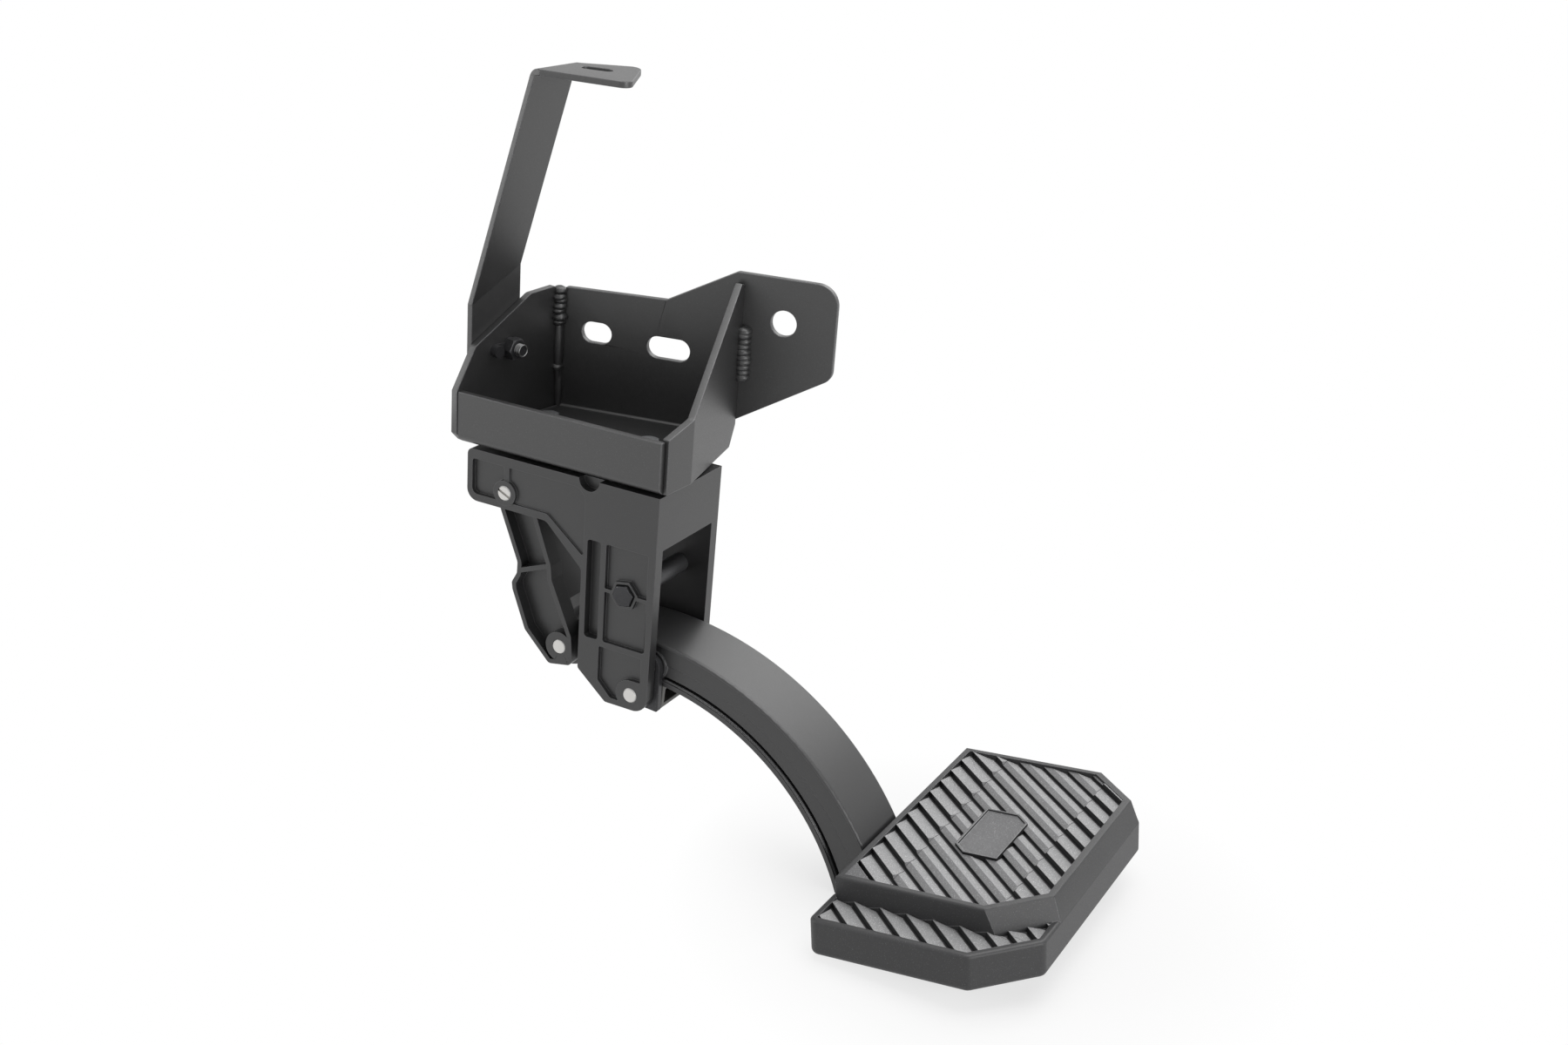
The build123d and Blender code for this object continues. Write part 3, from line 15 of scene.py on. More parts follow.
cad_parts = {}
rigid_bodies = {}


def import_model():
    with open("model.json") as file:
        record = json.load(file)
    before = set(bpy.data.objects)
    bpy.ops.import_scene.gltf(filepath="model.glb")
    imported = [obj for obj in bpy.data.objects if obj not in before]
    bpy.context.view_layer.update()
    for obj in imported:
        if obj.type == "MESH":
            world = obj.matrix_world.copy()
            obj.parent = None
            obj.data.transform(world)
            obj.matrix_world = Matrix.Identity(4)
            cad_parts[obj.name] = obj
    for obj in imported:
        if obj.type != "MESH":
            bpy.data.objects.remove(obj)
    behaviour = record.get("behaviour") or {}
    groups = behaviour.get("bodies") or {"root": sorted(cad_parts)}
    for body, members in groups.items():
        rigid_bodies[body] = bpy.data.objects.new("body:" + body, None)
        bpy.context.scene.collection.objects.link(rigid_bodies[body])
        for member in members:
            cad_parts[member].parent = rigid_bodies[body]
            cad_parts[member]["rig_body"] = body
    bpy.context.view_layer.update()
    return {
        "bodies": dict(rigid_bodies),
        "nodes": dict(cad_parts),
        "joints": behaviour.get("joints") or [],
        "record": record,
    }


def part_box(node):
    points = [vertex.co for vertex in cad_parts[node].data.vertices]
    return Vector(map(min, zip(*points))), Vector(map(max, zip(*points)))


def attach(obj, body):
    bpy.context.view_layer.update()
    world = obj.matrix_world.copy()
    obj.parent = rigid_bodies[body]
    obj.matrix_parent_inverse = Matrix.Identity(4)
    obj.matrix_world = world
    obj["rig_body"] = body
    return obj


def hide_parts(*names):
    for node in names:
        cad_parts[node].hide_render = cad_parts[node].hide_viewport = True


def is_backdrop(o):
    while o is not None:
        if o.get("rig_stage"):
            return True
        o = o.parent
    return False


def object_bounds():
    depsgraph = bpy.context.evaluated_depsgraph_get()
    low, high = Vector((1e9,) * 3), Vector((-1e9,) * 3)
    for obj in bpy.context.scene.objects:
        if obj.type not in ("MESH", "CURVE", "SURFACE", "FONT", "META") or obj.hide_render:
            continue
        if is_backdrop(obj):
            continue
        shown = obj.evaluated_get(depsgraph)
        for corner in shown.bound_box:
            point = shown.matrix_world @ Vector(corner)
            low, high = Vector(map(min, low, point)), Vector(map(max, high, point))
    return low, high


LOG = logging.getLogger("side_step")
Pair = tuple[float, float]
Colour = tuple[float, float, float]
Place = tuple[float, float, float]
Side = tuple[Vector, float]
Socket, Tree = bpy.types.NodeSocket, bpy.types.NodeTree
Mesh, Shell = bpy.types.Mesh, bmesh.types.BMesh
Object, Material = bpy.types.Object, bpy.types.Material
Form = Callable[[Vector], Vector]
Change = Callable[[Mesh], Mesh]

X, Y, Z = Vector((1.0, 0.0, 0.0)), Vector((0.0, 1.0, 0.0)), Vector((0.0, 0.0, 1.0))
SLANT = math.sqrt(0.5)
NEAR_CUT, FAR_CUT = Vector((SLANT, -SLANT, 0.0)), Vector((SLANT, SLANT, 0.0))
FINE_ROUNDING = 0.0003

WALL_CORNER = Vector((-0.168411, -0.120278, -0.0868))
WALL_TURN = math.radians(8.42)
WALL_DEPTH = Vector((math.cos(WALL_TURN), -math.sin(WALL_TURN), 0.0))
WALL_ALONG = Vector((math.sin(WALL_TURN), math.cos(WALL_TURN), 0.0))

PAD_TILT = math.radians(7.3)
PAD_ALONG = Vector((math.cos(PAD_TILT), 0.0, math.sin(PAD_TILT)))
PAD_UP = Vector((-math.sin(PAD_TILT), 0.0, math.cos(PAD_TILT)))
PAD_CORNER = Vector((0.1378886, -0.1466778, -0.2812))
PAD_PLACE = Matrix.Translation(PAD_CORNER) @ Matrix((PAD_ALONG, Y, PAD_UP)).transposed().to_4x4()
ACROSS_RIBS = (Y + PAD_ALONG).normalized()


class Kind(Enum):
    """Types of socket that a node group can have."""

    NUMBER = "NodeSocketFloat"
    COLOUR = "NodeSocketColor"
    VECTOR = "NodeSocketVector"
    GEOMETRY = "NodeSocketGeometry"
    WHOLE = "NodeSocketInt"
    MATERIAL = "NodeSocketMaterial"


Inputs = dict[str, tuple[Kind, object]]


class Weave:
    """Short ways to add and join the nodes of one tree."""

    def __init__(self, tree: Tree) -> None:
        """Works on the given tree."""
        self.tree = tree

    def feed(self, socket: Socket, value: object) -> None:
        """Joins an input to another node's output, or sets its own value.

        Args:
            socket: the input.
            value: an output socket, or a plain value.
        """
        if isinstance(value, Socket):
            self.tree.links.new(value, socket)
        else:
            socket.default_value = value

    def add(self, kind: str, inputs: dict | None = None, **settings: object) -> bpy.types.Node:
        """Adds a node and feeds its inputs.

        Args:
            kind: the node's type name.
            inputs: what each input gets, by its name or number.
            settings: attributes of the node, such as operation.

        Returns:
            The new node.
        """
        node = self.tree.nodes.new(kind)
        for name, value in settings.items():
            setattr(node, name, value)
        for key, value in (inputs or {}).items():
            self.feed(node.inputs[key], value)
        return node

    def maths(self, operation: str, *values: object) -> Socket:
        """Adds a Math node, fed in order, and gives its output."""
        return self.add("ShaderNodeMath", dict(enumerate(values)), operation=operation).outputs[0]

    def vector_maths(self, operation: str, *values: object) -> bpy.types.Node:
        """Adds a Vector Math node, fed in order."""
        return self.add("ShaderNodeVectorMath", dict(enumerate(values)), operation=operation)

    def scaled(self, vector: object, factor: object) -> Socket:
        """Multiplies a vector or a colour by a number."""
        return self.add("ShaderNodeVectorMath", {0: vector, "Scale": factor}, operation="SCALE").outputs[0]

    def span(self, *values: object) -> Socket:
        """Maps a value from a range (low, high) onto another (low, high), clamped."""
        return self.add("ShaderNodeMapRange", dict(enumerate(values))).outputs[0]

    def blend(self, share: object, first: object, second: object) -> Socket:
        """Mixes two colours, with the given share of the second."""
        return self.add("ShaderNodeMix", {0: share, 6: first, 7: second}, data_type="RGBA").outputs[2]

    def swung(self, noise: object, swing: object, middle: object) -> Socket:
        """Turns a noise between 0 and 1 into a value that swings to both sides of a middle one."""
        offset = self.maths("MULTIPLY", self.maths("SUBTRACT", noise, 0.5), swing)
        return self.maths("MULTIPLY_ADD", offset, 2.0, middle)

    def noise(self, vector: object, scale: object, detail: float = 2.0, rough: float = 0.5) -> Socket:
        """Adds a noise texture with a scale per metre and gives its factor."""
        inputs = {"Vector": vector, "Scale": scale, "Detail": detail, "Roughness": rough}
        return self.add("ShaderNodeTexNoise", inputs).outputs[0]


class Group(Weave):
    """A node group with named inputs and outputs."""

    def __init__(self, name: str, tree_type: str, inputs: Inputs, outputs: dict[str, Kind]) -> None:
        """Starts the group.

        Args:
            name: its name.
            tree_type: the type of its tree.
            inputs: kind and default value of each input.
            outputs: kind of each output.
        """
        super().__init__(bpy.data.node_groups.new(name, tree_type))
        for label, (kind, value) in inputs.items():
            socket = self.tree.interface.new_socket(label, in_out="INPUT", socket_type=kind.value)
            if value is not None:
                socket.default_value = value
        for label, kind in outputs.items():
            self.tree.interface.new_socket(label, in_out="OUTPUT", socket_type=kind.value)
        self.start = self.add("NodeGroupInput")
        self.end = self.add("NodeGroupOutput")

    def given(self, label: str) -> Socket:
        """The socket that carries one of the group's inputs."""
        return self.start.outputs[label]

    def ended(self, **results: Socket) -> Tree:
        """Feeds the group's outputs.

        Args:
            results: what each output gets.

        Returns:
            The group's tree.
        """
        for label, value in results.items():
            self.feed(self.end.inputs[label], value)
        return self.tree


class ShaderEffects:
    """The effects that several materials share, each built once as a node group."""

    RESULTS = {"Colour": Kind.COLOUR, "Roughness": Kind.NUMBER, "Height": Kind.NUMBER}
    FLECK_SHIFT = (0.37, 0.11, 0.73)
    FLECK_FINENESS = 1.6
    FLECK_START, FLECK_SPAN, FLECK_EDGE = 0.78, 0.3, 0.07
    MOTTLE_SCALE = 14.0
    WAVER_SCALE, WAVER = 600.0, 2.5
    PAINTED_RIM_START = 0.8
    RING_TONE, GROOVE_TONE, RING_ROUGHNESS = 0.2, 0.85, 0.15

    def __init__(self) -> None:
        """Builds the groups."""
        self.coat = self.make_coat_grain()
        self.turned = self.make_turning_marks()

    def make_coat_grain(self) -> Tree:
        """Fine sandy grain with pale flecks and broad soft tone changes.

        Returns:
            The group.
        """
        inputs = {
            "Colour": (Kind.COLOUR, (0.03, 0.03, 0.03, 1.0)),
            "Fleck Colour": (Kind.COLOUR, (0.2, 0.2, 0.2, 1.0)),
            "Grain Scale": (Kind.NUMBER, 1400.0),
            "Fleck Share": (Kind.NUMBER, 0.2),
            "Mottle": (Kind.NUMBER, 0.2),
            "Roughness": (Kind.NUMBER, 0.5),
            "Roughness Spread": (Kind.NUMBER, 0.1),
        }
        group = Group("coat_grain", "ShaderNodeTree", inputs, self.RESULTS)
        place = group.add("ShaderNodeTexCoord").outputs["Object"]
        scale = group.given("Grain Scale")
        fine = group.noise(place, scale, 3.0, 0.6)
        shifted = group.vector_maths("ADD", place, self.FLECK_SHIFT).outputs[0]
        flecks = group.noise(shifted, group.maths("MULTIPLY", scale, self.FLECK_FINENESS), 1.0)
        broad = group.noise(place, self.MOTTLE_SCALE, 3.0, 0.55)
        lowered = group.maths("MULTIPLY", group.given("Fleck Share"), self.FLECK_SPAN)
        threshold = group.maths("SUBTRACT", self.FLECK_START, lowered)
        mask = group.span(flecks, threshold, group.maths("ADD", threshold, self.FLECK_EDGE), 0.0, 1.0)
        toned = group.scaled(group.given("Colour"), group.swung(broad, group.given("Mottle"), 1.0))
        roughness = group.swung(fine, group.given("Roughness Spread"), group.given("Roughness"))
        colour = group.blend(mask, toned, group.given("Fleck Colour"))
        return group.ended(Colour=colour, Roughness=roughness, Height=fine)

    def make_turning_marks(self) -> Tree:
        """Fine rings round an axis along Y, as a lathe leaves them, and painted shade darkening the outer rim.

        Returns:
            The group.
        """
        inputs = {
            "Colour": (Kind.COLOUR, (0.6, 0.6, 0.6, 1.0)),
            "Rim Colour": (Kind.COLOUR, (0.3, 0.3, 0.3, 1.0)),
            "Centre": (Kind.VECTOR, (0.0, 0.0, 0.0)),
            "Radius": (Kind.NUMBER, 0.005),
            "Ring Scale": (Kind.NUMBER, 9000.0),
            "Roughness": (Kind.NUMBER, 0.3),
        }
        group = Group("turning_marks", "ShaderNodeTree", inputs, self.RESULTS)
        place = group.add("ShaderNodeTexCoord").outputs["Object"]
        offset = group.vector_maths("SUBTRACT", place, group.given("Centre")).outputs[0]
        flat = group.vector_maths("MULTIPLY", offset, (1.0, 0.0, 1.0)).outputs[0]
        reach = group.vector_maths("LENGTH", flat).outputs["Value"]
        phase = group.maths("MULTIPLY", reach, group.given("Ring Scale"))
        phase = group.maths("MULTIPLY_ADD", group.noise(place, self.WAVER_SCALE), self.WAVER, phase)
        rings = group.maths("MULTIPLY_ADD", group.maths("SINE", phase), 0.5, 0.5)
        radius = group.given("Radius")
        # The outer part of each pin end darkens towards the rim colour: painted shade round the edge of the pin
        # end.
        rim = group.span(reach, group.maths("MULTIPLY", radius, self.PAINTED_RIM_START), radius, 0.0, 1.0)
        colour = group.blend(rim, group.given("Colour"), group.given("Rim Colour"))
        shade = group.maths("MULTIPLY_ADD", rings, self.RING_TONE, self.GROOVE_TONE)
        roughness = group.maths("MULTIPLY_ADD", rings, self.RING_ROUGHNESS, group.given("Roughness"))
        return group.ended(Colour=group.scaled(colour, shade), Roughness=roughness, Height=rings)


@dataclass(frozen=True)
class Finish:
    """A surface whose marks come from a shared group; each kind names the group and what feeds its inputs."""

    name: str

    def material(self, effects: ShaderEffects) -> Material:
        """Builds the material.

        Args:
            effects: the shared groups.

        Returns:
            The material.
        """
        inputs = {label: getattr(self, source) for label, source in self.FED.items()}
        for label in ("Colour", self.SECOND):
            inputs[label] = (*inputs[label], 1.0)
        made = bpy.data.materials.new(self.name)
        made.use_nodes = True
        made.diffuse_color = inputs["Colour"]
        weave = Weave(made.node_tree)
        marks = weave.add("ShaderNodeGroup", inputs, node_tree=getattr(effects, self.GROUP)).outputs
        height = {"Strength": self.bump, "Distance": self.depth, "Height": marks["Height"]}
        normal = weave.add("ShaderNodeBump", height).outputs["Normal"]
        varied = {"Base Color": marks["Colour"], "Roughness": marks["Roughness"], "Normal": normal}
        steady = {"Metallic": self.metallic, "Specular IOR Level": self.specular}
        shader = made.node_tree.nodes["Principled BSDF"]
        for label, value in (varied | steady).items():
            weave.feed(shader.inputs[label], value)
        return made


@dataclass(frozen=True)
class Coating(Finish):
    """A grained finish, such as powder coat, cast skin or dull plate."""

    GROUP, SECOND = "coat", "Fleck Colour"
    FED = {
        "Colour": "colour", "Fleck Colour": "fleck", "Grain Scale": "grain", "Fleck Share": "flecks",
        "Mottle": "mottle", "Roughness": "roughness", "Roughness Spread": "spread",
    }

    colour: Colour
    fleck: Colour
    roughness: float
    metallic: float = 0.0
    specular: float = 0.4
    grain: float = 1500.0
    flecks: float = 0.35
    mottle: float = 0.25
    spread: float = 0.12
    bump: float = 0.35
    depth: float = 0.00012


@dataclass(frozen=True)
class TurnedSteel(Finish):
    """Bright turned steel with rings round its own axis and painted shade at its rim."""

    GROUP, SECOND = "turned", "Rim Colour"
    FED = {
        "Colour": "colour", "Rim Colour": "rim", "Centre": "centre", "Radius": "radius", "Roughness": "roughness",
    }

    centre: Place
    radius: float = 0.005
    colour: Colour = (0.62, 0.61, 0.59)
    # Colour of the painted shade at the pin end's rim.
    rim: Colour = (0.3, 0.3, 0.3)
    roughness: float = 0.3
    metallic: float = 1.0
    specular: float = 0.5
    bump: float = 0.2
    depth: float = 0.00002


SHEET_COAT = Coating(
    "sheet_powder_coat", (0.007, 0.007, 0.0073), (0.055, 0.055, 0.057), 0.42,
    specular=1.0, grain=1300.0, flecks=0.32,
)
# The sheet's rounded edges get a lighter coat: a painted highlight along them.
SHEET_EDGE_PAINTED_HIGHLIGHT = Coating(
    "sheet_edge_painted_highlight", (0.05, 0.05, 0.052), (0.17, 0.17, 0.175), 0.4, specular=0.85, grain=1300.0, flecks=0.5
)
CAST_COAT = Coating(
    "cast_powder_coat", (0.0115, 0.0115, 0.012), (0.05, 0.05, 0.052), 0.42,
    specular=0.8, grain=1800.0, flecks=0.25,
)
# The castings' rounded edges get a lighter coat: a painted highlight along them.
CAST_EDGE_PAINTED_HIGHLIGHT = Coating(
    "cast_edge_painted_highlight", (0.045, 0.045, 0.047), (0.11, 0.11, 0.113), 0.38, specular=0.8, grain=1800.0, flecks=0.3
)
WELD_COAT = Coating(
    "weld_powder_coat", (0.012, 0.012, 0.0125), (0.06, 0.06, 0.06), 0.42, specular=0.8, grain=900.0, bump=0.5
)
PAD_COAT = Coating(
    "pad_coat", (0.02, 0.02, 0.021), (0.085, 0.085, 0.088), 0.48, specular=0.6, grain=1300.0, flecks=0.4
)
# Lighter coat for the pad's rounded edges, a painted highlight, and for the ribs' faces that take no other tone,
# painted light.
PAD_EDGE_PAINTED_LIGHT = Coating("pad_edge_painted_light", (0.11, 0.11, 0.113), (0.3, 0.3, 0.305), 0.5, grain=1300.0, flecks=0.5)
# Tones of the ribs by the way their faces turn: painted light on the slopes and level stretches, painted shade on
# the steep sides.
TREAD_RAMP_PAINTED_LIGHT = Coating(
    "tread_ramp_painted_light", (0.36, 0.36, 0.364), (0.75, 0.75, 0.75), 0.6, grain=1100.0, flecks=0.6, bump=0.6
)
TREAD_FLAT_PAINTED_LIGHT = Coating("tread_flat_painted_light", (0.15, 0.15, 0.153), (0.42, 0.42, 0.425), 0.56, grain=1100.0, flecks=0.5)
TREAD_WALL_PAINTED_SHADE = Coating(
    "tread_wall_painted_shade", (0.01, 0.01, 0.0105), (0.05, 0.05, 0.05), 0.6, specular=0.2, grain=1300.0, flecks=0.3
)
DARK_STEEL = Coating(
    "black_oxide_steel", (0.05, 0.05, 0.053), (0.16, 0.16, 0.16), 0.4, metallic=0.6, mottle=0.4
)
# Paler, more metallic steel on the thread ridges than on the dark bolt: a painted highlight on the ridges.
THREAD_STEEL_PAINTED_HIGHLIGHT = Coating("thread_steel_painted_highlight", (0.2, 0.2, 0.2), (0.4, 0.4, 0.4), 0.32, metallic=0.9, mottle=0.3)
DULL_PLATE = Coating("dull_zinc_plate", (0.32, 0.325, 0.335), (0.5, 0.5, 0.5), 0.42, metallic=1.0, mottle=0.3)
DARK_SLEEVE = Coating("dark_sleeve", (0.07, 0.07, 0.073), (0.16, 0.16, 0.16), 0.35, metallic=0.5)
# A paler grey casting than the cast coat, with a strong mottle.
PALE_GREY_CASTING = Coating("pale_grey_casting", (0.11, 0.11, 0.105), (0.3, 0.3, 0.28), 0.5, metallic=0.3, mottle=0.6)
BRONZE = Coating("sintered_bronze", (0.42, 0.3, 0.14), (0.55, 0.42, 0.2), 0.5, metallic=1.0, grain=2500.0)


def placed(name: str, data: bpy.types.ID) -> Object:
    """Puts a mesh, lamp or camera into the scene as an object at the origin."""
    bpy.context.scene.collection.objects.link(thing := bpy.data.objects.new(name, data))
    return thing


def opened(*meshes: Mesh) -> Shell:
    """Opens some meshes as one for editing.

    Args:
        meshes: the meshes.

    Returns:
        The mesh to edit.
    """
    work = bmesh.new()
    for mesh in meshes:
        work.from_mesh(mesh)
    return work


def closed(work: Shell, mesh: Mesh) -> Mesh:
    """Ends the editing.

    Args:
        work: the edited mesh.
        mesh: takes the result.

    Returns:
        The mesh with the result.
    """
    work.to_mesh(mesh)
    work.free()
    return mesh


def evaluated_copy(thing: Object) -> Mesh:
    """The object's mesh as its modifiers leave it."""
    graph = bpy.context.evaluated_depsgraph_get()
    return bpy.data.meshes.new_from_object(thing.evaluated_get(graph))


def settled(thing: Object) -> None:
    """Gives an object the mesh that its modifiers leave, and takes them off."""
    thing.data = evaluated_copy(thing)
    thing.modifiers.clear()


@dataclass
class Workshop:
    """What every sub-assembly needs: the frame, the materials and the rounding of edges."""

    frame: dict
    effects: ShaderEffects = field(default_factory=ShaderEffects)
    made: dict[str, Material] = field(default_factory=dict)
    merge: float = 2e-6
    flatness: float = math.radians(0.4)
    eased_from: float = math.radians(35.0)
    stray_share: float = 0.45
    sharp_from: float = math.radians(32.0)
    flat_weight: int = 100

    def material(self, finish: Finish) -> Material:
        """Gives a finish's material, built the first time it is asked for.

        Args:
            finish: the finish.

        Returns:
            Its material.
        """
        if finish.name not in self.made:
            self.made[finish.name] = finish.material(self.effects)
        return self.made[finish.name]

    def slot_of(self, node: str) -> str:
        """The record's material slot of a node."""
        return next(part["material_slot"] for part in self.frame["record"]["subparts"] if part["node"] == node)

    def ride_with(self, piece: Object, node: str, slot: str) -> None:
        """Lets a piece move with a node's body."""
        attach(piece, self.frame["nodes"][node]["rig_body"])

    def stand_for(self, piece: Object, node: str, slot: str | None = None) -> None:
        """Lets a piece take a node's place and body.

        Args:
            piece: the piece.
            node: the node that it replaces.
            slot: its material slot, if it isn't the node's own; not used.
        """
        self.ride_with(piece, node, slot or self.slot_of(node))
        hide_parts(node)
        LOG.info("%s stands for %s, %d faces", piece.name, node, len(piece.data.polygons))

    def ease(self, piece: Object, width: float) -> None:
        """Puts narrow bevels on an object's sharp edges, in its second material; a lighter one there is a painted
        highlight.

        Args:
            piece: the object.
            width: width of the bevels.
        """
        bevel = piece.modifiers.new("rounding", "BEVEL")
        bevel.width = width
        bevel.segments = 2
        bevel.limit_method = "ANGLE"
        bevel.angle_limit = self.eased_from
        bevel.use_clamp_overlap = False
        bevel.miter_outer = "MITER_ARC"
        # The bevels take the second material, which for the coats is lighter: a painted highlight.
        bevel.material = 1
        settled(piece)

    def even_out(self, piece: Object) -> None:
        """Keeps broad faces flat in the shading, so that only the rounded edges bend the light.

        Args:
            piece: the object.
        """
        for face in piece.data.polygons:
            face.use_smooth = True
        piece.data.set_sharp_from_angle(angle=self.sharp_from)
        weighted = piece.modifiers.new("normals", "WEIGHTED_NORMAL")
        weighted.keep_sharp = True
        weighted.weight = self.flat_weight
        settled(piece)

    def rounded(
        self,
        node: str,
        face: Coating,
        edge: Coating | None = None,
        width: float = FINE_ROUNDING,
        form: Form | None = None,
        slot: str | None = None,
        change: Change | None = None,
        split: bool = True,
    ) -> None:
        """Shows a copy of a node with rounded edges.

        Args:
            node: the node.
            face: finish of its faces.
            edge: finish of its rounded edges, if they have one of their own; a lighter one paints a highlight
                along them.
            width: width of the rounding in metres.
            form: moves each point before the rounding.
            slot: a material slot other than the record's; not used.
            change: makes another mesh out of the merged copy.
            split: whether faces with inward corners are split first.
        """
        mesh = self.frame["nodes"][node].data.copy()
        mesh.name = f"{node}_rounded"
        work = opened(mesh)
        bmesh.ops.remove_doubles(work, verts=work.verts, dist=self.merge)
        if change:
            mesh = change(closed(work, mesh))
            work = opened(mesh)
        if form:
            for vertex in work.verts:
                vertex.co = form(vertex.co.copy())
            work.normal_update()
        skin = BVHTree.FromBMesh(work)
        low = [min(vertex.co[axis] for vertex in work.verts) for axis in range(3)]
        high = [max(vertex.co[axis] for vertex in work.verts) for axis in range(3)]
        bmesh.ops.dissolve_limit(work, angle_limit=self.flatness, verts=work.verts, edges=work.edges)
        if split:
            bmesh.ops.connect_verts_concave(work, faces=work.faces)
        closed(work, mesh)
        mesh.materials.clear()
        for finish in (face, edge or face):
            mesh.materials.append(self.material(finish))
        for polygon in mesh.polygons:
            polygon.material_index = 0
        piece = placed(f"{node}_shown", mesh)
        self.ease(piece, width)
        # Points that the bevel throws off go back to the skin, and none leave the box.
        for vertex in piece.data.vertices:
            nearest = skin.find_nearest(vertex.co)[0]
            if (nearest - vertex.co).length > self.stray_share * width:
                vertex.co = nearest
            vertex.co = [min(max(vertex.co[axis], low[axis]), high[axis]) for axis in range(3)]
        self.even_out(piece)
        self.stand_for(piece, node, slot)

    def dress(self, node: str, finish: Finish) -> None:
        """Gives a node's own object a finish.

        Args:
            node: the node.
            finish: its finish.
        """
        for slot in self.frame["nodes"][node].material_slots:
            slot.material = self.material(finish)
        LOG.info("%s gets %s", node, finish.name)

    def dress_pins(self, *nodes: str) -> None:
        """Gives pins along Y bright turned steel, with rings round each one's axis.

        Args:
            nodes: the pins' nodes.
        """
        for node in nodes:
            low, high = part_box(node)
            centre = ((low.x + high.x) / 2, 0.0, (low.z + high.z) / 2)
            self.dress(node, TurnedSteel(f"{node}_steel", centre))


class Growth(Group):
    """A Geometry Nodes tree that repeats a shape along a straight line."""

    def __init__(self, name: str, inputs: Inputs) -> None:
        """Starts the tree.

        Args:
            name: its name.
            inputs: kind and default value of each input besides the count and the finish.
        """
        shared = {"Count": (Kind.WHOLE, 4), "Finish": (Kind.MATERIAL, None)}
        super().__init__(name, "GeometryNodeTree", inputs | shared, {"Geometry": Kind.GEOMETRY})

    def line(self, start: object, step: object) -> Socket:
        """A line of as many points as the count says."""
        inputs = {"Count": self.given("Count"), "Start Location": start, "Offset": step}
        return self.add("GeometryNodeMeshLine", inputs, mode="OFFSET").outputs["Mesh"]

    def then(self, kind: str, geometry: Socket, **inputs: object) -> Socket:
        """Adds a node that changes a geometry."""
        return self.add(kind, {"Geometry": geometry} | inputs).outputs["Geometry"]

    def repeated(self, points: Socket, shape: Socket, **inputs: object) -> Socket:
        """Sets a shape on each point and makes the instances real."""
        place = self.add("GeometryNodeInstanceOnPoints", {"Points": points, "Instance": shape} | inputs)
        return self.then("GeometryNodeRealizeInstances", place.outputs["Instances"])

    def shown(self, geometry: Socket) -> Tree:
        """Smooths the result, gives it the finish and ends the tree."""
        smooth = self.then("GeometryNodeSetShadeSmooth", geometry)
        return self.ended(Geometry=self.then("GeometryNodeSetMaterial", smooth, Material=self.given("Finish")))


def ripple_tree() -> Tree:
    """Builds the tree that sets uneven lobes along a weld seam.

    Returns:
        The tree.
    """
    inputs = {
        "Start": (Kind.VECTOR, (0.0, 0.0, 0.0)),
        "Pitch": (Kind.NUMBER, 0.003),
        "Lobe": (Kind.VECTOR, (0.005, 0.005, 0.003)),
        "Unevenness": (Kind.NUMBER, 0.1),
        "Shift": (Kind.NUMBER, 0.0006),
        "Lumps": (Kind.NUMBER, 0.0012),
        "Lump Scale": (Kind.NUMBER, 420.0),
        "Seed": (Kind.WHOLE, 3),
    }
    tree = Growth("weld_ripples", inputs)
    step = tree.add("ShaderNodeCombineXYZ", {"Z": tree.given("Pitch")}).outputs[0]
    line = tree.line(tree.given("Start"), step)
    lobe = tree.add("GeometryNodeMeshUVSphere", {"Segments": 20, "Rings": 12, "Radius": 1.0}).outputs["Mesh"]
    uneven, seed = tree.given("Unevenness"), tree.given("Seed")
    least, most = tree.maths("SUBTRACT", 1.0, uneven), tree.maths("ADD", 1.0, uneven)
    size = tree.add("FunctionNodeRandomValue", {2: least, 3: most, "Seed": seed}, data_type="FLOAT").outputs[1]
    stray = tree.add("FunctionNodeRandomValue", {0: (-1.0, -1.0, -1.0), "Seed": seed}, data_type="FLOAT_VECTOR")
    off = tree.scaled(stray.outputs[0], tree.given("Shift"))
    points = tree.then("GeometryNodeSetPosition", line, Offset=off)
    lobes = tree.repeated(points, lobe, Scale=tree.scaled(tree.given("Lobe"), size))
    grain = tree.noise(tree.add("GeometryNodeInputPosition").outputs[0], tree.given("Lump Scale"))
    lump = tree.maths("MULTIPLY", tree.maths("SUBTRACT", grain, 0.5), tree.given("Lumps"))
    swell = tree.scaled(tree.add("GeometryNodeInputNormal").outputs[0], lump)
    return tree.shown(tree.then("GeometryNodeSetPosition", lobes, Offset=swell))


def thread_tree() -> Tree:
    """Builds the tree that sets thread ridges round a bolt's end.

    Returns:
        The tree.
    """
    inputs = {
        "Start": (Kind.VECTOR, (0.0, 0.0, 0.0)),
        "Step": (Kind.VECTOR, (0.0, 0.001, 0.0)),
        "Turn": (Kind.VECTOR, (1.5708, 0.0, 0.0)),
        "Radius": (Kind.NUMBER, 0.004),
        "Ridge": (Kind.NUMBER, 0.0004),
    }
    tree = Growth("thread_ridges", inputs)
    line = tree.line(tree.given("Start"), tree.given("Step"))
    circle = "GeometryNodeCurvePrimitiveCircle"
    ring = tree.add(circle, {"Resolution": 32, "Radius": tree.given("Radius")}, mode="RADIUS").outputs["Curve"]
    profile = tree.add(circle, {"Resolution": 6, "Radius": tree.given("Ridge")}, mode="RADIUS").outputs["Curve"]
    ridge = tree.add("GeometryNodeCurveToMesh", {"Curve": ring, "Profile Curve": profile}).outputs["Mesh"]
    turn = tree.add("FunctionNodeEulerToRotation", {0: tree.given("Turn")}).outputs[0]
    return tree.shown(tree.repeated(line, ridge, Rotation=turn))


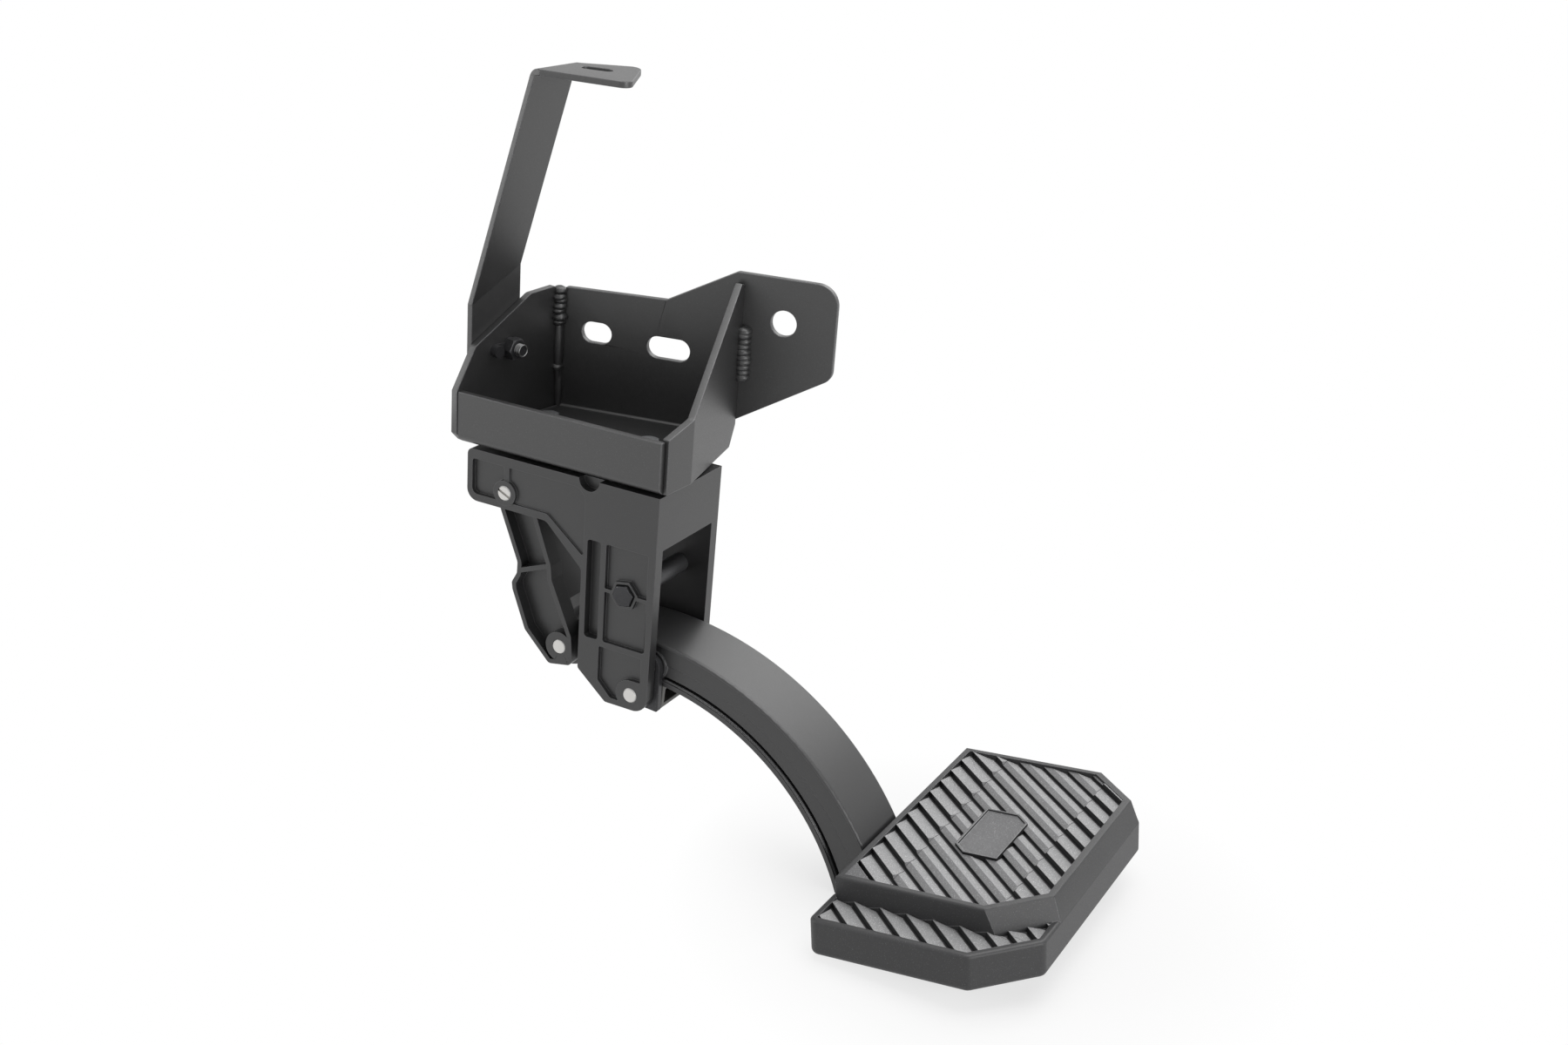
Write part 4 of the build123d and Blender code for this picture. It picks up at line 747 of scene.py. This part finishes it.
def row_tree() -> Tree:
    """Builds the tree that repeats the holder's own mesh along a line.

    Returns:
        The tree.
    """
    tree = Growth("tread_row", {"Geometry": (Kind.GEOMETRY, None), "Step": (Kind.VECTOR, (0.01, 0.0, 0.0))})
    line = tree.line((0.0, 0.0, 0.0), tree.given("Step"))
    return tree.shown(tree.repeated(line, tree.given("Geometry")))


def grown(
    name: str, tree: Tree, values: dict[str, object], seed: Mesh | None = None
) -> Mesh:
    """Runs a Geometry Nodes tree and gives its result as a plain mesh.

    Args:
        name: the mesh's name.
        tree: the tree.
        values: the tree's inputs by name.
        seed: the mesh that the tree starts from, if it needs one.

    Returns:
        The mesh.
    """
    holder = placed(name, seed or bpy.data.meshes.new(f"{name}_start"))
    modifier = holder.modifiers.new("growth", "NODES")
    modifier.node_group = tree
    for item in tree.interface.items_tree:
        if item.item_type == "SOCKET" and item.in_out == "INPUT" and item.name in values:
            modifier[item.identifier] = values[item.name]
    holder.update_tag()
    bpy.context.view_layer.update()
    mesh = evaluated_copy(holder)
    mesh.name = name
    bpy.data.objects.remove(holder)
    return mesh


def joined(name: str, meshes: list[Mesh], material: Material) -> Object:
    """Joins meshes of one material into one object at the origin.

    Args:
        name: the object's name.
        meshes: the meshes.
        material: their material.

    Returns:
        The object.
    """
    result = closed(opened(*meshes), bpy.data.meshes.new(name))
    result.materials.clear()
    result.materials.append(material)
    for face in result.polygons:
        face.material_index = 0
        face.use_smooth = True
    return placed(name, result)


@dataclass
class StrapForm:
    """Carries the plain strap's points to a slanted fold, a narrower bar and a skewed tab.

    Lengths are in metres in the left wall's own frame: depth across the wall, along the wall, height.
    """

    foot: float = 0.038
    fold: float = 0.097
    level: float = 0.229
    top: float = 0.237
    front: float = 0.017
    width: float = 0.0475
    lean: float = 27.5 / 140.0
    drift: float = 22.5 / 140.0
    sheet: float = 0.004
    tab: Pair = (0.0663, 0.0449)
    tab_skew: Pair = (0.2866, 0.4543)
    new_folds: Pair = (0.088, 0.1078)
    new_front: float = 0.01685
    new_width: float = 0.0434
    new_lean: float = 0.189
    new_drift: float = 0.148
    new_tab: tuple[Pair, ...] = (
        (0.0242, 0.0389), (0.019, 0.0835), (0.0912, 0.0534), (0.0579, 0.1027),
    )
    tab_blend: float = 0.012
    bolt: Pair = (0.046, 0.0565)
    kept_round_bolt: float = 0.01

    def moved(self, point: Vector) -> Vector:
        """Gives a point's new place.

        Args:
            point: the point in the object's frame.

        Returns:
            Its new place in the same frame.
        """
        local = point - WALL_CORNER
        depth, along, height = local.dot(WALL_DEPTH), local.dot(WALL_ALONG), local.z
        if math.hypot(along - self.bolt[0], height - self.bolt[1]) < self.kept_round_bolt:
            return point
        risen = max(0.0, height - self.fold)
        share = (along - self.front - self.drift * risen) / self.width
        inside = depth - self.lean * risen
        fold = self.new_folds[0] + share * (self.new_folds[1] - self.new_folds[0])
        if height <= self.fold:
            raised = self.foot + (height - self.foot) * (fold - self.foot) / (self.fold - self.foot)
        elif height < self.level:
            raised = fold + (height - self.fold) * (self.level - fold) / (self.level - self.fold)
        else:
            raised = height
        new_risen = max(0.0, raised - fold)
        bar = Vector((inside + self.new_lean * new_risen, 0.0, raised))
        bar.y = self.new_front + self.new_width * share + self.new_drift * new_risen
        blend = min(1.0, max(0.0, inside / self.tab_blend))
        if height > self.level - self.sheet and blend > 0.0:
            blend = blend * blend * (3.0 - 2.0 * blend)
            bar = bar.lerp(self.on_tab(depth, along, raised), blend)
        return WALL_CORNER + WALL_DEPTH * bar.x + WALL_ALONG * bar.y + Vector((0.0, 0.0, bar.z))

    def on_tab(self, depth: float, along: float, height: float) -> Vector:
        """Gives the new place of a point of the tab.

        Args:
            depth: its place across the wall.
            along: its place along the wall.
            height: its height.

        Returns:
            The same three lengths, moved.
        """
        bend = self.lean * (self.top - self.fold) - self.sheet
        out = depth - bend
        front = self.front + self.drift * (self.top - self.fold)
        low = front + out * self.tab_skew[0]
        high = front + self.width + out * self.tab_skew[1]
        share = (along - low) / (high - low)
        reach = out / (self.tab[0] * (1.0 - share) + self.tab[1] * share)
        corners = [Vector((*corner, height)) for corner in self.new_tab]
        return corners[0].lerp(corners[1], share).lerp(corners[2].lerp(corners[3], share), reach)


@dataclass
class Bracket:
    """The folded sheet bracket with its walls, strap, welds and their fasteners."""

    shop: Workshop
    rounding: float = 0.0006
    lobe_pitch: float = 0.0034
    thread_count: int = 4
    thread_pitch: float = 0.00125
    thread_radius: float = 0.0037
    thread_ridge: float = 0.00055
    thread_beyond: float = 0.0002
    rim_depth: float = 0.00005

    def build(self) -> None:
        """Makes and dresses the bracket's pieces."""
        for node in ("frame_plate", "left_wall", "right_wall"):
            self.shop.rounded(node, SHEET_COAT, SHEET_EDGE_PAINTED_HIGHLIGHT, self.rounding)
        self.shop.rounded("top_strap", SHEET_COAT, SHEET_EDGE_PAINTED_HIGHLIGHT, self.rounding, StrapForm().moved)
        self.build_welds()
        self.build_fasteners()
        self.build_thread()

    def build_welds(self) -> None:
        """Grows rippled seams over the plain weld beads; each row has a start, a count, a lobe and a seed."""
        tree = ripple_tree()
        finish = self.shop.material(WELD_COAT)
        low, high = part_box("weld_beads")
        left_x, left_y = low.x + 0.0012, low.y + 0.0042
        rows = {
            "left_seam": ((left_x, left_y, -0.0212), 7, (0.0047, 0.0047, 0.0031), 5),
            "left_root": ((left_x - 0.0002, left_y + 0.0006, -0.0383), 1, (0.0036, 0.0036, 0.03), 2),
            "left_foot": ((left_x - 0.0006, left_y + 0.0012, -0.0643), 1, (0.0034, 0.0034, 0.02), 4),
            "left_tack": ((left_x - 0.0003, left_y, -0.0528), 1, (0.0046, 0.0046, 0.0038), 8),
            "right_seam": ((high.x - 0.0052, high.y - 0.0022, -0.0385), 10, (0.006, 0.0054, 0.0034), 11),
        }
        meshes = []
        for name, (start, count, lobe, seed) in rows.items():
            values = {"Start": start, "Count": count, "Pitch": self.lobe_pitch, "Lobe": lobe, "Seed": seed}
            meshes.append(grown(name, tree, values | {"Finish": finish}))
        self.shop.stand_for(joined("weld_seams", meshes, finish), "weld_beads")

    def build_fasteners(self) -> None:
        """Dresses the strap's and the tray's fasteners."""
        self.shop.rounded("strap_bolt", DARK_STEEL, slot="dark_steel")
        self.shop.dress("strap_washer", DARK_STEEL)
        self.shop.dress("strap_nut", DARK_STEEL)
        for node in ("housing_bolts", "housing_washers", "housing_spacers"):
            self.shop.rounded(node, DULL_PLATE)

    def build_thread(self) -> None:
        """Grows thread ridges round the strap bolt's end, the last one a little beyond it."""
        finish = self.shop.material(THREAD_STEEL_PAINTED_HIGHLIGHT)
        points = [vertex.co for vertex in self.shop.frame["nodes"]["strap_bolt"].data.vertices]
        reach = max(point.dot(WALL_DEPTH) for point in points)
        rim = [point for point in points if point.dot(WALL_DEPTH) > reach - self.rim_depth]
        centre = sum(rim, Vector()) / len(rim)
        back = self.thread_pitch * (self.thread_count - 1) - self.thread_beyond
        values = {
            "Start": centre - WALL_DEPTH * back,
            "Step": WALL_DEPTH * self.thread_pitch,
            "Turn": Vector((0.0, math.pi / 2, -WALL_TURN)),
            "Count": self.thread_count,
            "Radius": self.thread_radius,
            "Ridge": self.thread_ridge,
            "Finish": finish,
        }
        ridges = joined("strap_bolt_thread", [grown("thread", thread_tree(), values)], finish)
        self.shop.ride_with(ridges, "strap_bolt", "dark_steel")


@dataclass
class Housing:
    """The cast housing with its pivots, stop bolt and sleeve."""

    shop: Workshop

    def build(self) -> None:
        """Makes and dresses the housing's pieces."""
        self.shop.rounded("housing", CAST_COAT, CAST_EDGE_PAINTED_HIGHLIGHT, split=False)
        self.shop.rounded("stop_bolt", DARK_STEEL)
        self.shop.rounded("stop_nut", DARK_STEEL)
        self.shop.rounded("rear_pivot_nut", DULL_PLATE)
        self.shop.dress("stop_sleeve", DARK_SLEEVE)
        self.shop.dress_pins("rear_pivot_screw", "front_pin_near", "front_pin_far")


@dataclass
class Linkage:
    """The rear link, the front link's plates and their pins."""

    shop: Workshop
    rounding: float = 0.0002

    def build(self) -> None:
        """Makes and dresses the linkage's pieces."""
        self.shop.rounded("rear_link", CAST_COAT, CAST_EDGE_PAINTED_HIGHLIGHT, self.rounding)
        self.shop.dress("rear_link_bushes", BRONZE)
        self.shop.rounded("front_link_near", DARK_STEEL)
        self.shop.rounded("front_link_far", DARK_STEEL)
        self.shop.dress_pins("tail_pin", "arm_pin")


@dataclass
class Arm:
    """The curved arm with its bush and its stop shoe."""

    shop: Workshop
    arm_rounding: float = 0.0004
    shoe_rounding: float = 0.0005

    def build(self) -> None:
        """Makes and dresses the arm's pieces."""
        self.shop.rounded("step_arm", CAST_COAT, CAST_EDGE_PAINTED_HIGHLIGHT, self.arm_rounding)
        self.shop.dress("arm_bush", BRONZE)
        self.shop.rounded("stop_shoe", PALE_GREY_CASTING, width=self.shoe_rounding)
        self.shop.rounded("shoe_screws", DARK_STEEL)


def prism(name: str, outline: list[Pair], low: float, high: float) -> Mesh:
    """Makes an upright prism.

    Args:
        name: its name.
        outline: its corners seen from above, counterclockwise.
        low: height of its foot.
        high: height of its top.

    Returns:
        Its mesh.
    """
    count = len(outline)
    points = [(x, y, low) for x, y in outline] + [(x, y, high) for x, y in outline]
    faces = [list(range(count))[::-1], list(range(count, 2 * count))]
    faces += [[k, (k + 1) % count, (k + 1) % count + count, k + count] for k in range(count)]
    mesh = bpy.data.meshes.new(name)
    mesh.from_pydata(points, [], faces)
    return mesh


def kept_within(mesh: Mesh, sides: list[Side], result: Mesh, lift: float = 0.0) -> Mesh:
    """Cuts closed shells down to what lies within some flat sides.

    Args:
        mesh: the shells.
        sides: outward direction of each side and its distance from the origin.
        result: the mesh that takes what is kept.
        lift: how far that is moved up.

    Returns:
        The second mesh.
    """
    work = opened(mesh)
    for outward, distance in sides:
        parts = work.verts[:] + work.edges[:] + work.faces[:]
        cut = {"plane_co": outward * distance, "plane_no": outward, "clear_outer": True}
        bmesh.ops.bisect_plane(work, geom=parts, dist=1e-7, **cut)
        bmesh.ops.holes_fill(work, edges=[edge for edge in work.edges if edge.is_boundary], sides=0)
    bmesh.ops.translate(work, verts=work.verts, vec=Z * lift)
    bmesh.ops.recalc_face_normals(work, faces=work.faces)
    return closed(work, result)


@dataclass
class Tread:
    """The saw-tooth ribs of the pad, in the pad's frame in metres; they run to its near outboard corner."""

    shop: Workshop
    pitch: float = 0.01205
    first: float = 0.0203
    depth: float = 0.0036
    lean: float = 0.0005
    root: float = 0.0009
    sunk: float = 0.0006
    half_length: float = 0.2
    rib_count: int = 20
    ribs_before: int = 4
    top: tuple[Side, ...] = (
        (-X, -0.0045), (X, 0.1221), (-Y, -0.0045), (Y, 0.1925),
        (NEAR_CUT, 0.0894 * SLANT), (FAR_CUT, 0.2864 * SLANT),
    )
    ledge: tuple[Side, ...] = ((-X, -0.0005), (X, 0.1271), (-Y, 0.0255), (NEAR_CUT, 0.1214 * SLANT))
    ledge_level: float = -0.0142
    ledge_seam: float = 0.002
    block_cut: float = 0.1005
    block_clearing: float = 0.103
    flat_drop: float = 0.0015
    flat_fall: float = 0.003
    flat_band: Pair = (0.032, 0.102)
    corner_flat: float = 0.0176
    corner_start: float = 0.0044
    panel_size: Pair = (0.031, 0.06)
    panel_centre: Pair = (0.0635, 0.0887)
    panel_cut: float = 0.009
    panel_top: float = 0.0002
    border: float = 0.0016
    border_slope: float = 0.0005
    border_depth: float = 0.0011
    gap: float = 0.00005
    headroom: float = 0.001

    @property
    def base(self) -> float:
        """Height of the ribs' feet, a little under the recess's floor."""
        return -self.depth - self.sunk

    def widened(self, sides: tuple[Side, ...]) -> list[Side]:
        """The sides of a field, moved outwards by the gap."""
        return [(outward, distance + self.gap) for outward, distance in sides]

    def block_side(self, distance: float) -> Side:
        """The side of the ledge's field that faces the corner cut of the tread block."""
        return (Y - X).normalized(), -distance * SLANT

    def row(self) -> Mesh:
        """Repeats one long rib over the whole pad.

        Returns:
            The row, with crests at height zero.
        """
        end, foot, base = self.pitch - self.root, -self.depth, self.base
        section = [(0.0, base), (0.0, foot), (self.lean, 0.0), (end, foot), (end, base)]
        across, along = (X + Y).normalized(), (X - Y).normalized()
        start = self.first - self.lean - self.ribs_before * self.pitch
        points = [
            across * (start + out) + along * (side * self.half_length) + Vector((0.0, 0.0, height))
            for side in (-1.0, 1.0)
            for out, height in section
        ]
        count = len(section)
        faces = [list(range(count)), list(range(count, 2 * count))[::-1]]
        faces += [[k, k + count, (k + 1) % count + count, (k + 1) % count] for k in range(count)]
        rib = bpy.data.meshes.new("one_rib")
        rib.from_pydata(points, [], faces)
        values = {"Step": across * self.pitch, "Count": self.rib_count}
        return grown("rib_row", row_tree(), values | {"Finish": self.shop.material(TREAD_RAMP_PAINTED_LIGHT)}, rib)

    def parts(self) -> list[Mesh]:
        """Makes the ribs of both fields, the corner's flat and the panel.

        Returns:
            Their meshes.
        """
        row = self.row()
        low, high = self.flat_band
        fall = Vector((self.flat_drop * 2, 0.0, self.flat_fall)).normalized()
        rise = Vector((-fall.x, 0.0, fall.z))
        left = (fall, fall.dot(Vector((low, 0.0, -self.flat_drop))))
        right = (rise, rise.dot(Vector((high, 0.0, -self.flat_drop))))
        top = [*self.top, ((-X - Y).normalized(), -self.corner_flat)]
        stretches = [
            (top + [left, (X, low)], 0.0),
            (top + [(Z, -self.flat_drop), (X, high), (-X, -low)], 0.0),
            (top + [right, (-X, -high)], 0.0),
            ([*self.ledge, (Y, self.ledge_seam)], self.ledge_level),
            ([*self.ledge, (-Y, -self.ledge_seam), self.block_side(self.block_cut)], self.ledge_level),
        ]
        made = [kept_within(row, sides, bpy.data.meshes.new("rib_part"), lift) for sides, lift in stretches]
        start = self.corner_start
        corner = self.corner_flat * math.sqrt(2.0) - start
        made.append(prism("corner_flat", [(start, start), (corner, start), (start, corner)], self.base, 0.0))
        return made + [self.panel()]

    def panel(self) -> Mesh:
        """Makes the plain panel with its raised border.

        Returns:
            Its mesh.
        """
        x, y = self.panel_centre
        half_x, half_y = self.panel_size[0] / 2, self.panel_size[1] / 2
        cut = self.panel_cut
        left, right, near, far = x - half_x, x + half_x, y - half_y, y + half_y
        outline = [(left + cut, near), (right, near), (right, far - cut)]
        outline += [(right - cut, far), (left, far), (left, near + cut)]
        mesh = prism("panel", outline, self.base, self.panel_top)
        work = opened(mesh)
        work.normal_update()
        top = [face for face in work.faces if face.normal.z > 0.9]
        bmesh.ops.inset_region(work, faces=top, thickness=self.border)
        bmesh.ops.inset_region(work, faces=top, thickness=self.border_slope, depth=-self.border_depth)
        return closed(work, mesh)

    def recess(self, pad: Mesh) -> Mesh:
        """Clears the plain ribs off a copy of the pad.

        Args:
            pad: the copy.

        Returns:
            A mesh with bare recesses.
        """
        holder = placed("pad_holder", pad)
        floor = -self.depth - self.gap
        square = [(-0.1, -0.1), (0.3, -0.1), (0.3, 0.3), (-0.1, 0.3)]
        ledge = self.widened(self.ledge)
        spaces = [
            (self.widened(self.top), 0.0),
            ([*ledge, (Y, -self.gap)], self.ledge_level),
            ([*ledge, (-Y, 2 * self.gap), self.block_side(self.block_clearing)], self.ledge_level),
        ]
        cutters = []
        for sides, level in spaces:
            block = prism("space", square, level + floor, level + self.headroom)
            kept_within(block, sides, block)
            block.transform(PAD_PLACE)
            cutters.append(placed("space", block))
            cut = holder.modifiers.new("clearing", "BOOLEAN")
            cut.operation = "DIFFERENCE"
            cut.solver = "EXACT"
            cut.object = cutters[-1]
        bpy.context.view_layer.update()
        cleared = evaluated_copy(holder)
        for thing in (holder, *cutters):
            bpy.data.objects.remove(thing)
        return cleared


@dataclass
class StepPad:
    """The ribbed foot pad and its bolts."""

    shop: Workshop
    rib_rounding: float = 0.00025

    def build(self) -> None:
        """Makes and dresses the pad's pieces."""
        tread = Tread(self.shop)
        self.shop.rounded("step_pad", PAD_COAT, PAD_EDGE_PAINTED_LIGHT, change=tread.recess)
        ribs = joined("tread_ribs", tread.parts(), self.shop.material(PAD_EDGE_PAINTED_LIGHT))
        ribs.data.transform(PAD_PLACE)
        self.shop.ease(ribs, self.rib_rounding)
        self.shop.even_out(ribs)
        self.paint_tread_light_and_shade(ribs.data)
        self.shop.ride_with(ribs, "step_pad", self.shop.slot_of("step_pad"))
        self.shop.rounded("pad_bolts", DARK_STEEL)

    def paint_tread_light_and_shade(self, mesh: Mesh) -> None:
        """Paints light and shade onto the ribs by the way each face turns: painted light on the slopes, a dimmer
        painted light on the level stretches and painted shade on the steep sides.

        Args:
            mesh: the mesh of the ribs.
        """
        for finish in (TREAD_RAMP_PAINTED_LIGHT, TREAD_FLAT_PAINTED_LIGHT, TREAD_WALL_PAINTED_SHADE):
            mesh.materials.append(self.shop.material(finish))
        for face in mesh.polygons:
            up, across = face.normal.dot(PAD_UP), face.normal.dot(ACROSS_RIBS)
            # Faces turned up get painted light, steep faces painted shade.
            if up > 0.85 and across > 0.2:
                face.material_index = 1
            elif up > 0.9:
                face.material_index = 2
            elif up < 0.4:
                face.material_index = 3


@dataclass
class Studio:
    """The floor, the lamps with their places, sizes and watts, the pale surroundings and the camera."""

    eye: Place = (0.551346, -1.07654, 0.348635)
    right: Place = (0.877796, 0.473275, 0.074065)
    down: Place = (0.23717, -0.295037, -0.925583)
    ahead: Place = (-0.416203, 0.830039, -0.371228)
    focal_px: float = 2270.485
    photo_width_px: float = 1800.0
    sensor_mm: float = 36.0
    view_end: float = 60.0
    floor_radius: float = 14.0
    floor_gap: float = 0.0004
    floor_tone: float = 0.93
    shadow_reach: Pair = (0.09, 0.2)
    shadow_glow: Pair = (0.72, 1.0)
    room_light: Pair = (0.06, 1.0)
    aim: Place = (0.0, -0.05, -0.1)
    lamps: tuple[tuple[str, Place, Pair, float], ...] = (
        ("overhead_softbox", (0.25, 0.15, 1.5), (1.6, 1.6), 24.0),
        ("left_softbox", (-1.5, -1.1, 0.2), (1.2, 1.2), 8.0),
        ("right_softbox", (1.7, -0.6, 0.1), (1.0, 1.2), 14.0),
        ("back_softbox", (0.2, 1.6, 0.9), (1.6, 1.0), 10.0),
    )

    def build(self) -> None:
        """Makes the whole studio."""
        self.place_camera()
        self.lay_floor()
        self.hang_lamps()
        self.light_room()
        bpy.context.scene.view_settings.view_transform = "Standard"

    def place_camera(self) -> None:
        """Sets the camera at the photograph's place and angle."""
        data = bpy.data.cameras.new("camera")
        data.sensor_width = self.sensor_mm
        data.lens = self.focal_px * self.sensor_mm / self.photo_width_px
        data.clip_end = self.view_end
        camera = placed("camera", data)
        turn = Matrix((Vector(self.right), -Vector(self.down), -Vector(self.ahead))).transposed()
        camera.matrix_world = Matrix.Translation(self.eye) @ turn.to_4x4()
        bpy.context.scene.camera = camera

    def lay_floor(self) -> None:
        """Lays a wide pale floor under the pad, white far from the object."""
        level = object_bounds()[0][2] - self.floor_gap
        work = bmesh.new()
        bmesh.ops.create_circle(work, cap_ends=True, radius=self.floor_radius, segments=96)
        mesh = closed(work, bpy.data.meshes.new("floor"))
        for vertex in mesh.vertices:
            vertex.co.z = level
        made = bpy.data.materials.new("pale_floor")
        made.use_nodes = True
        weave = Weave(made.node_tree)
        nodes = made.node_tree.nodes
        shader = nodes["Principled BSDF"]
        shader.inputs["Base Color"].default_value = (self.floor_tone, self.floor_tone, self.floor_tone, 1.0)
        shader.inputs["Roughness"].default_value = 0.9
        shader.inputs["Specular IOR Level"].default_value = 0.0
        glow = weave.add("ShaderNodeEmission")
        rays = weave.add("ShaderNodeLightPath").outputs
        seen = weave.maths("MAXIMUM", rays["Is Camera Ray"], rays["Is Glossy Ray"])
        seen = weave.maths("MAXIMUM", seen, rays["Is Transmission Ray"])
        low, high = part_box("step_pad")
        middle = ((low.x + high.x) / 2, (low.y + high.y) / 2, level)
        place = weave.add("ShaderNodeTexCoord").outputs["Object"]
        reach = weave.vector_maths("DISTANCE", place, middle).outputs["Value"]
        far = weave.maths("MULTIPLY", weave.span(reach, *self.shadow_reach, *self.shadow_glow), seen)
        mix = weave.add("ShaderNodeMixShader", {0: far, 1: shader.outputs[0], 2: glow.outputs[0]})
        weave.feed(nodes["Material Output"].inputs["Surface"], mix.outputs[0])
        mesh.materials.append(made)
        placed("floor", mesh)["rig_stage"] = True

    def hang_lamps(self) -> None:
        """Hangs the soft lights and turns them to the object."""
        for name, place, size, power in self.lamps:
            data = bpy.data.lights.new(name, "AREA")
            data.shape = "RECTANGLE"
            data.size, data.size_y = size
            data.energy = power
            lamp = placed(name, data)
            lamp.location = place
            lamp.rotation_euler = (Vector(self.aim) - Vector(place)).to_track_quat("-Z", "Y").to_euler()

    def light_room(self) -> None:
        """Sets the world: white to the camera and in reflections, dim as a light."""
        world = bpy.data.worlds.new("room")
        bpy.context.scene.world = world
        world.use_nodes = True
        weave = Weave(world.node_tree)
        rays = weave.add("ShaderNodeLightPath").outputs
        seen = weave.maths("MAXIMUM", rays["Is Camera Ray"], rays["Is Transmission Ray"])
        dim = weave.span(rays["Is Glossy Ray"], 0.0, 1.0, *self.room_light)
        background = world.node_tree.nodes["Background"]
        weave.feed(background.inputs["Strength"], weave.maths("MAXIMUM", seen, dim))
        background.inputs["Color"].default_value = (1.0, 1.0, 1.0, 1.0)


def main() -> None:
    """Builds every part of the picture in order."""
    logging.basicConfig(level=logging.INFO, format="%(message)s")
    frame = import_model()
    Studio().build()
    shop = Workshop(frame)
    for part in (Bracket(shop), Housing(shop), Linkage(shop), Arm(shop), StepPad(shop)):
        part.build()
        LOG.info("%s is finished", type(part).__name__)


if __name__ == "__main__":
    main()
